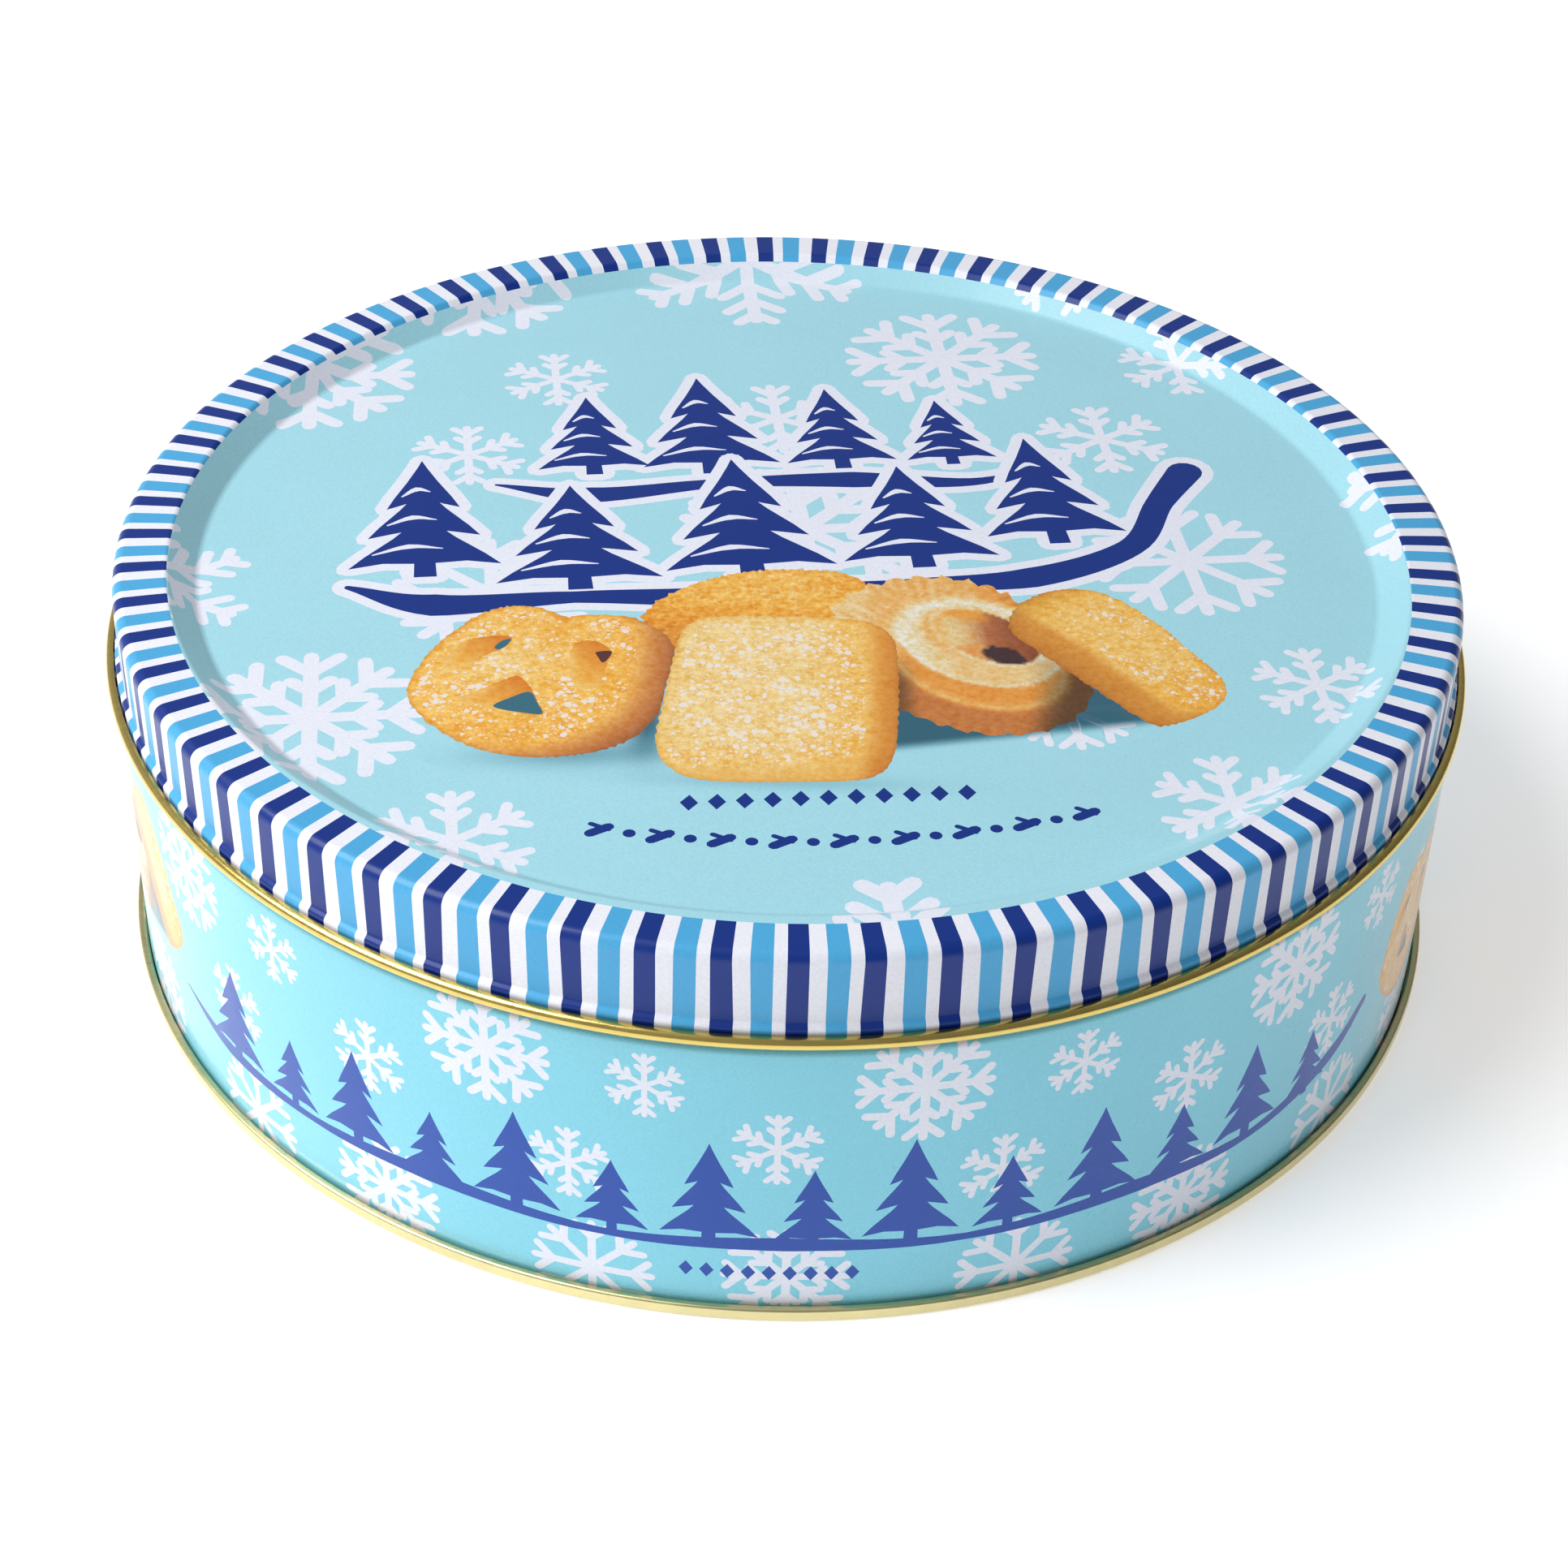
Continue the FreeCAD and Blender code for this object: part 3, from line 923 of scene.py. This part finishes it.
lid_print_mat = printed_tinplate("printed lid", 0.40, 0.15)
lid_cookie_mat = printed_tinplate("printed lid cookies", 0.40, 0.15, cookies=True)
wall_print_mat = printed_tinplate("printed wall", 0.30, 0.35)
wall_cookie_mat = printed_tinplate("printed wall cookies", 0.30, 0.35, cookies=True)
curl_mat = gold_lacquer("gold lacquer inside lid", (213, 188, 104), 0.16)
inside_mat = gold_lacquer("gold lacquer inside tin", (216, 190, 108), 0.22)
end_mat = gold_lacquer("gold lacquer bottom", (214, 202, 150), 0.30)

# ---------------------------------------------------------------- lid

lid_rows = strip(LID, LID_BENDS, HALF)
lid_s = run_length(lid_rows)
SPLIT = 93.0               # inside this blank radius the print is cut freely, outside it is only stripes


def on_sheet(s, a, rows, lengths):
    """Positions and normals at distances s along a profile and bearings a."""
    r, z, nr, nz = (np.interp(s, lengths, rows[:, k]) for k in range(4))
    size = np.hypot(nr, nz)
    co = np.stack([r * np.cos(a), r * np.sin(a), z], 1)
    return co, np.stack([nr * np.cos(a), nr * np.sin(a), nz], 1) / size[:, None]


def lid_place(flat):
    return on_sheet(np.hypot(flat[:, 0], flat[:, 1]), np.arctan2(flat[:, 1], flat[:, 0]), lid_rows, lid_s)


PRINT_OFF = (0.2, -1.9)    # the print sits a little off the centre of the stamping
STRIPE_IN = 90.1           # inner radius of the stripes on the blank
# the bands of one stripe period: share of the period, ink
BANDS = ((0.285, "navy"), (0.235, "white"), (0.30, "blue"), (0.18, "white"))
PERIODS = 64
FIRST = math.radians(-88.84 - 0.5 * BANDS[0][0] * 360 / PERIODS)   # where the first navy band starts


def on_ring(phi, radius):
    """Where a ray from the centre of the print meets a circle about the tin's axis."""
    c, s = math.cos(phi), math.sin(phi)
    b = PRINT_OFF[0] * c + PRINT_OFF[1] * s
    q = PRINT_OFF[0] ** 2 + PRINT_OFF[1] ** 2 - radius ** 2
    t = -b + math.sqrt(b * b - q)
    return (PRINT_OFF[0] + t * c, PRINT_OFF[1] + t * s)


def uneven(phi):
    """The stripes are spaced a little unevenly round the ring."""
    return phi + math.radians(1.30 + 1.06 * math.sin(phi) - 0.335 * math.cos(phi))


def stripe_edges():
    """Bearing about the print's centre and ink of every column, each band in two."""
    out = []
    at = FIRST
    for _ in range(PERIODS):
        for share, ink in BANDS:
            width = share * 2 * math.pi / PERIODS
            out += [(uneven(at), ink), (uneven(at + width / 2), ink)]
            at += width
    return out


def clipped(shape, low, high):
    """The part of a convex outline between two heights."""
    for level, keep_above in ((low, True), (high, False)):
        out = []
        for i in range(len(shape)):
            a, b = shape[i - 1], shape[i]
            in_a = (a[1] >= level) == keep_above
            in_b = (b[1] >= level) == keep_above
            if in_a != in_b:
                t = (level - a[1]) / (b[1] - a[1])
                out.append((a[0] + t * (b[0] - a[0]), level))
            if in_b:
                out.append(b)
        shape = out
        if len(shape) < 3:
            return []
    return shape


def slid(shape, low, high):
    """The part of a convex outline between two bearings."""
    swap = clipped([(y, x) for x, y in shape][::-1], low, high)
    return [(y, x) for x, y in swap][::-1]


def within(shape, radius):
    """The part of a convex outline on the near side of a tangent of that circle."""
    far = max(shape, key=lambda p: math.hypot(*p))
    if math.hypot(*far) < radius:
        return shape
    a = math.atan2(far[1], far[0])
    upright = turned(shape, 90 - math.degrees(a))
    return turned(clipped(upright, -200, radius), math.degrees(a) - 90)


columns = stripe_edges()
outer = [on_ring(phi, SPLIT) for phi, _ in columns]


def lid_layers():
    """The ground of the lid's print and its snowflakes, as convex outlines."""
    layers = [(outer, "lid cyan")]
    flakes = [
        (23.9, 59.3, 15.8, "double"), (-63.3, -46.6, 15.7, "double"), (-9.0, 89.5, 19.8, "fern"),
        (-77.0, 47.0, 16.7, "double"), (-54.7, 79.3, 17.0, "double"), (2.0, 5.0, 18.5, "double"),
        (58.1, -0.7, 14.7, "single"), (-42.0, -14.8, 15.0, "single"), (-91.5, -16.4, 15.5, "fern"),
        (38.5, -39.5, 9.5, "single"), (-38.0, 48.7, 8.6, "small"), (73.2, -32.0, 9.2, "small"),
        (48.2, 34.4, 10.4, "small"), (-2.5, 38.0, 11.0, "small"), (-49.5, 24.0, 9.0, "small"),
        (62.0, 59.0, 9.5, "small"), (-41.5, -72.5, 10.8, "small"), (58.5, -59.8, 10.6, "small"),
        (16.2, -99.8, 21.8, "fern"), (102.0, 12.0, 19.0, "fern"), (46.0, 84.0, 10.0, "small")]
    for f in flakes:
        for stroke in flake(*f):
            if f[1] < -95 and abs(stroke[0][0] - 14.0) > 7.5:
                continue       # only one arm of the front flake shows past the stripes
            stroke = within(stroke, SPLIT - 0.4)
            if stroke:
                layers.append((stroke, "flake"))
    return layers


def winter_motif(layers):
    """Navy fir trees on swept drifts, with an off-white border, in place of lettering."""
    def tilted(points):
        return turned(points, 7.5)
    back = [(-27, 23, 17, 24), (-9, 22, 21, 30), (11, 22, 17, 25), (28, 22, 14, 20)]
    front = [(-53, -4, 22, 33), (-31, -9, 24, 29), (-6, -8, 25, 34), (19, -7, 23, 29), (40, -2, 21, 31)]
    back_drift = ([(-42, 21), (-28, 17), (-8, 19), (12, 18.5), (30, 16.5), (42, 20.5)],
                  [0.5, 4.4, 2.4, 4.6, 2.2, 0.5])
    front_drift = ([(-64, -6), (-52, -11.5), (-32, -11), (-10, -12.5), (14, -11.5), (34, -11), (50, -4),
                    (57, 8), (63, 17)], [1.0, 5.6, 3.0, 5.2, 2.8, 5.2, 4.2, 4.2, 5.4])
    border = 1.8
    for row, (drift, widths) in ((back, back_drift), (front, front_drift)):
        shapes = [tilted(fir(*t)) for t in row]
        line = tilted(drift)
        for s in shapes:
            layers += [(b, "flake") for b in bordered(s, border)]
        layers += [(q, "flake") for q in brush(line, widths, border)]
        layers += [(s, "navy") for s in shapes]
        layers += [(q, "navy") for q in brush(line, widths)]
        for cx, cy, w, h in row:
            for k in range(3):
                y = cy + h * (0.21 + 0.245 * k)
                x = w * (0.34 - 0.10 * k)
                snow = tilted([(cx - x, y - 0.015 * h), (cx - x * 0.3, y + 0.045 * h),
                               (cx + x * 0.35, y + 0.02 * h)])
                layers += [(q, "flake") for q in brush(snow, [0.3, 0.055 * w, 0.2], per=4)]


def small_ornament(layers):
    """Leaves and dots along an arc under a row of diamonds, in place of the small lines of lettering."""
    for k in range(-8, 9):
        x = 8.0 + 3.9 * k
        y = -70.5 + 0.10 * (x - 8) + 0.0042 * (x - 8) ** 2
        if k % 2 == 0:
            layers += [(capsule((x - 1.1, y - 0.5), (x + 1.2, y + 1.0), 1.5), "navy")]
            layers += [(capsule((x - 1.1, y + 1.5), (x + 1.2, y + 0.4), 0.8), "navy")]
        else:
            layers += [(circle(x, y + 0.3, 0.85, 12), "navy")]
    for k in range(-5, 6):
        x = 6.0 + 3.6 * k
        y = -61.0 + 0.11 * (x - 6)
        layers += [([(x - 1.2, y), (x, y - 1.7), (x + 1.2, y), (x, y + 1.7)], "navy")]


def hex_points(outline, step):
    """Evenly spread points inside an outline."""
    o = np.array(outline)
    low, high = o.min(0), o.max(0)
    rows = np.arange(low[1], high[1], step * 0.866)
    pts = []
    for k, y in enumerate(rows):
        xs = np.arange(low[0] + (k % 2) * step / 2, high[0], step)
        pts.append(np.stack([xs, np.full(len(xs), y)], 1))
    pts = np.concatenate(pts)
    return pts[inside(pts, o)]


layers = lid_layers()
winter_motif(layers)
small_ornament(layers)
inner = []
for phi, _ in columns:
    # the stripes begin a little further out at the back
    reach = STRIPE_IN + 0.8 * max(0.0, math.sin(phi - 0.3))
    inner.append((PRINT_OFF[0] + reach * math.cos(phi), PRINT_OFF[1] + reach * math.sin(phi)))
for i, (_, ink) in enumerate(columns):
    k = (i + 1) % len(columns)
    layers.append(([inner[i], outer[i], outer[k], inner[k]], ink))
layers += cookie_shapes()
# the print is cut along every bend of the stamping, from the sloped step outward
lines = [(circle(0, 0, s, SPIN), True) for s in lid_s if 80.0 < s < SPLIT - 0.05] + [(PATCH, True)]
co, tris, inks = triangulate(layers, lines, hex_points(PATCH, 0.6))


def chosen(inks, keep, shaded=()):
    """The inks of the kept triangles; the shadow of the cookies falls on the shaded ones."""
    under = {name: ground(name) for name in shaded}
    return [under.get(ink, ink) for ink, k in zip(inks, keep) if k]


def same(flat):
    return flat


def lid_atlas(flat, tri):
    return 0.5 + flat[tri.reshape(-1)] / (2 * SPLIT + 1.0)


def patch_atlas(flat, tri):
    return (flat[tri.reshape(-1)] - np.array([-56.0, -64.0])) / 122.0


in_patch = inside(co[tris].mean(axis=1), PATCH)
lid_print = printed_mesh("lid_print", co, lid_place, tris[~in_patch], chosen(inks, ~in_patch), same,
                         lid_atlas, lid_print_mat)
lid_cookies = printed_mesh("lid_cookie_print", co, lid_place, tris[in_patch],
                           chosen(inks, in_patch, ("lid cyan", "flake", "navy")), same, patch_atlas,
                           lid_cookie_mat)

# rim, corner and skirt: straight stripes that waver a little where the sheet was drawn down
at_split = [float(np.interp(SPLIT, lid_s, lid_rows[:, k])) for k in range(4)]
rim_rows = np.array([at_split] + lid_rows[lid_s > SPLIT + 0.2].tolist())
ring_bearings = np.array([math.atan2(y, x) for x, y in outer])
phase = np.array([phi for phi, _ in columns])
depth = run_length(rim_rows)
sway = np.outer(soft(depth, 5.0, 16.0), 0.0016 * np.sin(23.0 * phase + 1.0) + 0.0012 * np.sin(57.0 * phase))
skirt = spun("lid_stripes", rim_rows, lid_print_mat, columns=ring_bearings, wobble=sway,
             ink=[ink for _, ink in columns])
lid_inside = spun("lid_inside", strip(LID, LID_BENDS, -HALF), curl_mat)
tip = np.array([strip(LID, LID_BENDS, -HALF)[-1], strip(LID, LID_BENDS, HALF)[-1]])
tip[:, 2:] = (-1.0, 0.0)
lid_tip = spun("lid_curl_edge", tip, curl_mat)

for piece in (lid_print, lid_cookies, skirt, lid_inside, lid_tip):
    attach(piece, "lid")
    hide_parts("lid")

# ---------------------------------------------------------------- body wall

# the outside of the wall upwards; it is printed from the seam to just under the lid
up = strip(WALL, WALL_BENDS, HALF)[::-1]
first = int(np.argmax((abs(up[:, 0] - WALL_R) < 0.01) & (up[:, 1] > 0.3) & (up[:, 2] > 0.99)))
last = int(np.argmax((up[:, 1] > 46.4) & (up[:, 0] < 97.0)))
print_rows = up[first:last + 1].copy()
wall_s = run_length(print_rows)
AROUND = 2 * math.pi * WALL_R
FRONT = -math.pi / 2
foot_z = print_rows[0, 1]


def wall_place(flat):
    return on_sheet(flat[:, 1] - foot_z, FRONT + flat[:, 0] / WALL_R, print_rows, wall_s)


top_z = foot_z + wall_s[-1]
edge = AROUND / 2
repeat = AROUND / 11
wall_layers = [([(-edge, foot_z), (edge, foot_z), (edge, top_z), (-edge, top_z)], "wall cyan")]


def add_wall(shape, ink):
    """Adds the part of a convex outline that lies on the wall's sheet."""
    shape = clipped(shape, foot_z + 0.01, top_z - 0.01)
    if shape:
        shape = slid(shape, -edge + 0.01, edge - 0.01)
    if shape:
        wall_layers.append((shape, ink))


# bearing in degrees from the front, height, size and kind of each flake in one repeat
WALL_FLAKES = ((-21.7, 39.0, 9.0, "double"), (-9.4, 38.4, 5.3, "small"), (0.4, 29.4, 6.0, "small"),
               (-15.3, 23.0, 6.0, "small"), (1.3, 7.0, 8.6, "double"), (-13.6, 5.0, 8.5, "single"))
DEGREE = math.radians(1.0) * WALL_R
for k in range(-6, 7):
    for bearing, cy, size, kind in WALL_FLAKES:
        for stroke in flake(bearing * DEGREE + k * repeat, cy, size, kind, 90):
            add_wall(stroke, "flake")

# a navy wood on a swept drift in place of the arched lettering, at the front and at the back
WOOD = ((-50.5, 12.6, 15.5), (-43.0, 9.4, 11.5), (-36.0, 12.0, 16.5), (-28.8, 9.6, 12.0),
        (-21.6, 12.4, 17.0), (-14.0, 9.8, 12.5), (-6.6, 12.8, 17.5), (1.2, 10.2, 13.5), (8.6, 12.8, 18.0),
        (16.2, 9.8, 12.6), (23.6, 12.4, 17.0), (31.0, 9.6, 12.2), (38.2, 12.0, 16.4), (45.6, 9.4, 11.6))
for centre in (0.0, AROUND / 2, -AROUND / 2):
    for bearing, width, height in WOOD:
        u = centre + (bearing + 2.0) * DEGREE
        if abs(u) < edge - 0.6 * width:
            wall_layers.append((fir(u, 12.4, width, height), "wall navy"))
    drift = [(centre + (b - 1.0) * DEGREE, z) for b, z in
             ((-56, 15.5), (-49, 12.6), (-38, 12.0), (-26, 12.9), (-12, 12.0), (2, 12.8), (16, 12.0),
              (30, 12.9), (42, 12.2), (52, 15.6), (57, 20.0))]
    for quad in brush(drift, [0.4, 2.2, 1.2, 2.4, 1.2, 2.4, 1.2, 2.4, 1.4, 2.6, 1.6], per=6):
        add_wall(quad, "wall navy")
    for k in range(-4, 5):
        x = centre + 2.7 * k
        if abs(x) < edge - 2:
            wall_layers.append(([(x - 0.95, 7.6), (x, 6.3), (x + 0.95, 7.6), (x, 8.9)], "wall navy"))

# the cookies of the lid's artwork, smaller, near both sides
COOKIE_SCALE = 0.67
COOKIE_X, COOKIE_Z = 4.3, 46.6     # the artwork's x that stands at the bearing, and where its y = 0 stands
cookie_sides = []
for bearing in (-79.0, 81.0):
    u0 = math.radians(bearing) * WALL_R

    def on_wall(outline, u0=u0):
        return [(u0 + COOKIE_SCALE * (x - COOKIE_X), COOKIE_Z + COOKIE_SCALE * y) for x, y in outline]
    wall_layers += [(on_wall(outline), paint) for outline, paint in cookie_shapes()]
    cookie_sides.append((u0, on_wall(PATCH)))

wall_lines = []
UPRIGHTS = 192             # upright cuts round the wall, so that the flat print bends smoothly
for k in range(1, UPRIGHTS):
    u = -edge + AROUND * k / UPRIGHTS
    line = [(u, foot_z), (u, top_z)]
    if any(min(p[0] for p in patch) < u < max(p[0] for p in patch) for _, patch in cookie_sides):
        line = [(u, z) for z in np.arange(foot_z, top_z, 0.5)] + [(u, top_z)]
    wall_lines.append((line, False))
for s in wall_s[1:-1]:
    wall_lines.append(([(-edge, foot_z + s), (edge, foot_z + s)], False))
wall_lines += [(patch, True) for _, patch in cookie_sides]
loose = np.concatenate([hex_points(patch, 0.5) for _, patch in cookie_sides])
co, tris, inks = triangulate(wall_layers, wall_lines, loose)
middle = co[tris].mean(axis=1)
rest = np.ones(len(tris), bool)
ROWS = 4                   # rows of the texture that the wall's strip is cut into


def wall_atlas(flat, tri):
    band = np.clip(((flat[tri].mean(axis=1)[:, 0] + edge) / AROUND * ROWS).astype(int), 0, ROWS - 1)
    p = flat[tri.reshape(-1)]
    b = np.repeat(band, 3)
    u = (p[:, 0] + edge) / AROUND * ROWS - b
    v = (p[:, 1] - foot_z) / (top_z - foot_z)
    return np.stack([0.004 + 0.992 * u, (b + 0.02 + 0.96 * v) / ROWS], 1)


wall_pieces = []
for name, (u0, patch) in zip(("wall_cookie_print_left", "wall_cookie_print_right"), cookie_sides):
    hit = inside(middle, patch)
    rest &= ~hit
    box_low = np.array(patch).min(0) - 0.5

    def art(f, u0=u0):
        return np.stack([(f[:, 0] - u0) / COOKIE_SCALE + COOKIE_X, (f[:, 1] - COOKIE_Z) / COOKIE_SCALE], 1)

    def atlas(flat, tri, low=box_low):
        return (flat[tri.reshape(-1)] - low) / 84.0
    those = chosen(inks, hit, ("wall cyan", "flake"))
    wall_pieces.append(printed_mesh(name, co, wall_place, tris[hit], those, art, atlas, wall_cookie_mat))
wall_pieces.append(printed_mesh("wall_print", co, wall_place, tris[rest], chosen(inks, rest), same,
                                wall_atlas, wall_print_mat))
wall_pieces.append(spun("wall_neck_and_mouth", up[last:], inside_mat))
wall_pieces.append(spun("wall_inside", strip(WALL, WALL_BENDS, -HALF), inside_mat))
wall_pieces.append(spun("wall_seam_hook", up[:first + 1], inside_mat))
for piece in wall_pieces:
    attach(piece, "tin")
    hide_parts("body_wall")

# folded lock of the side seam, inside at the back
mesh = bpy.data.meshes.new("side_seam_lock")
verts, faces = [], []
low_z, high_z, half_angle, ease = 6.0, 42.2, 0.5 * 4.6 / WALL_MID, 0.25
# place across the lock from -1 to 1, and radius; its ends run back into the wall
section = [(-1.0, 97.84), (-0.93, 97.45), (-0.8, 97.36), (0.8, 97.36), (0.93, 97.45), (1.0, 97.84)]
for z in (low_z, low_z + ease, high_z - ease, high_z):
    for t, r in section:
        if z in (low_z, high_z):
            r = 97.8
        a = math.pi / 2 - t * half_angle
        verts.append((r * math.cos(a) * MM, r * math.sin(a) * MM, z * MM))
across = len(section)
for j in range(len(verts) // across - 1):
    for i in range(across - 1):
        a = j * across + i
        faces.append((a, a + across, a + across + 1, a + 1))
mesh.from_pydata(verts, [], faces)
mesh.flip_normals()
mesh.materials.append(inside_mat)
lock = add_piece("side_seam_lock", mesh)
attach(lock, "tin")

# ---------------------------------------------------------------- bottom end

end_out = spun("bottom_end_outside", strip(END, END_BENDS, -HALF), end_mat)
end_in = spun("bottom_end_inside", strip(END, END_BENDS, HALF), inside_mat)
for piece in (end_out, end_in):
    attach(piece, "tin")
    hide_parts("bottom_end")

# ---------------------------------------------------------------- stage, light and camera

scene = bpy.context.scene
FLOOR = 40.0               # metres from the tin to the edge of the floor
floor_mesh = bpy.data.meshes.new("floor")
floor_mesh.from_pydata([(-FLOOR, -FLOOR, 0), (FLOOR, -FLOOR, 0), (FLOOR, FLOOR, 0), (-FLOOR, FLOOR, 0)], [],
                       [(0, 1, 2, 3)])
floor = add_piece("floor", floor_mesh)
floor_mat, nt, bsdf = new_material("pale floor")
bsdf.inputs["Base Color"].default_value = (0.95, 0.95, 0.95, 1.0)
bsdf.inputs["Roughness"].default_value = 0.8
bsdf.inputs["Emission Color"].default_value = (1.0, 1.0, 1.0, 1.0)
bsdf.inputs["Emission Strength"].default_value = 0.42
floor_mesh.materials.append(floor_mat)

world = bpy.data.worlds.new("studio")
world.use_nodes = True
background = world.node_tree.nodes["Background"]
background.inputs["Color"].default_value = (0.97, 0.98, 1.0, 1.0)
# the room is darker to the right of the tin
look = world.node_tree.nodes.new("ShaderNodeTexCoord").outputs["Generated"]
split = world.node_tree.nodes.new("ShaderNodeSeparateXYZ")
world.node_tree.links.new(look, split.inputs[0])
world.node_tree.links.new(spread(world.node_tree, split.outputs[0], -0.9, 0.9, 0.54, 0.16),
                          background.inputs["Strength"])
scene.world = world

softbox = bpy.data.lights.new("key softbox", "AREA")
softbox.shape = "DISK"
softbox.size = 0.7
softbox.energy = 8.6
key = bpy.data.objects.new("key softbox", softbox)
key.location = (-0.56, -0.14, 0.78)
key.rotation_euler = (Vector((0, 0, 0.03)) - key.location).to_track_quat("-Z", "Y").to_euler()
scene.collection.objects.link(key)

camera_data = bpy.data.cameras.new("camera")
camera_data.sensor_width = 36.0
camera_data.lens = 66.49
camera_data.clip_start = 0.01
camera_data.clip_end = 50.0
camera = bpy.data.objects.new("camera", camera_data)
scene.collection.objects.link(camera)
pitch, roll, yaw = math.radians(36.464), math.radians(1.639), math.radians(0.033)
forward = Vector((math.sin(yaw) * math.cos(pitch), math.cos(yaw) * math.cos(pitch), -math.sin(pitch)))
right = forward.cross(Vector((0, 0, 1))).normalized()
above = right.cross(forward)
across = right * math.cos(roll) + above * math.sin(roll)
upward = above * math.cos(roll) - right * math.sin(roll)
turn = Matrix((across, upward, -forward)).transposed()
camera_place = (0, -0.36141, 0.28076)      # metres
camera.matrix_world = Matrix.Translation(camera_place) @ turn.to_4x4()
scene.camera = camera
scene.view_settings.view_transform = "Standard"
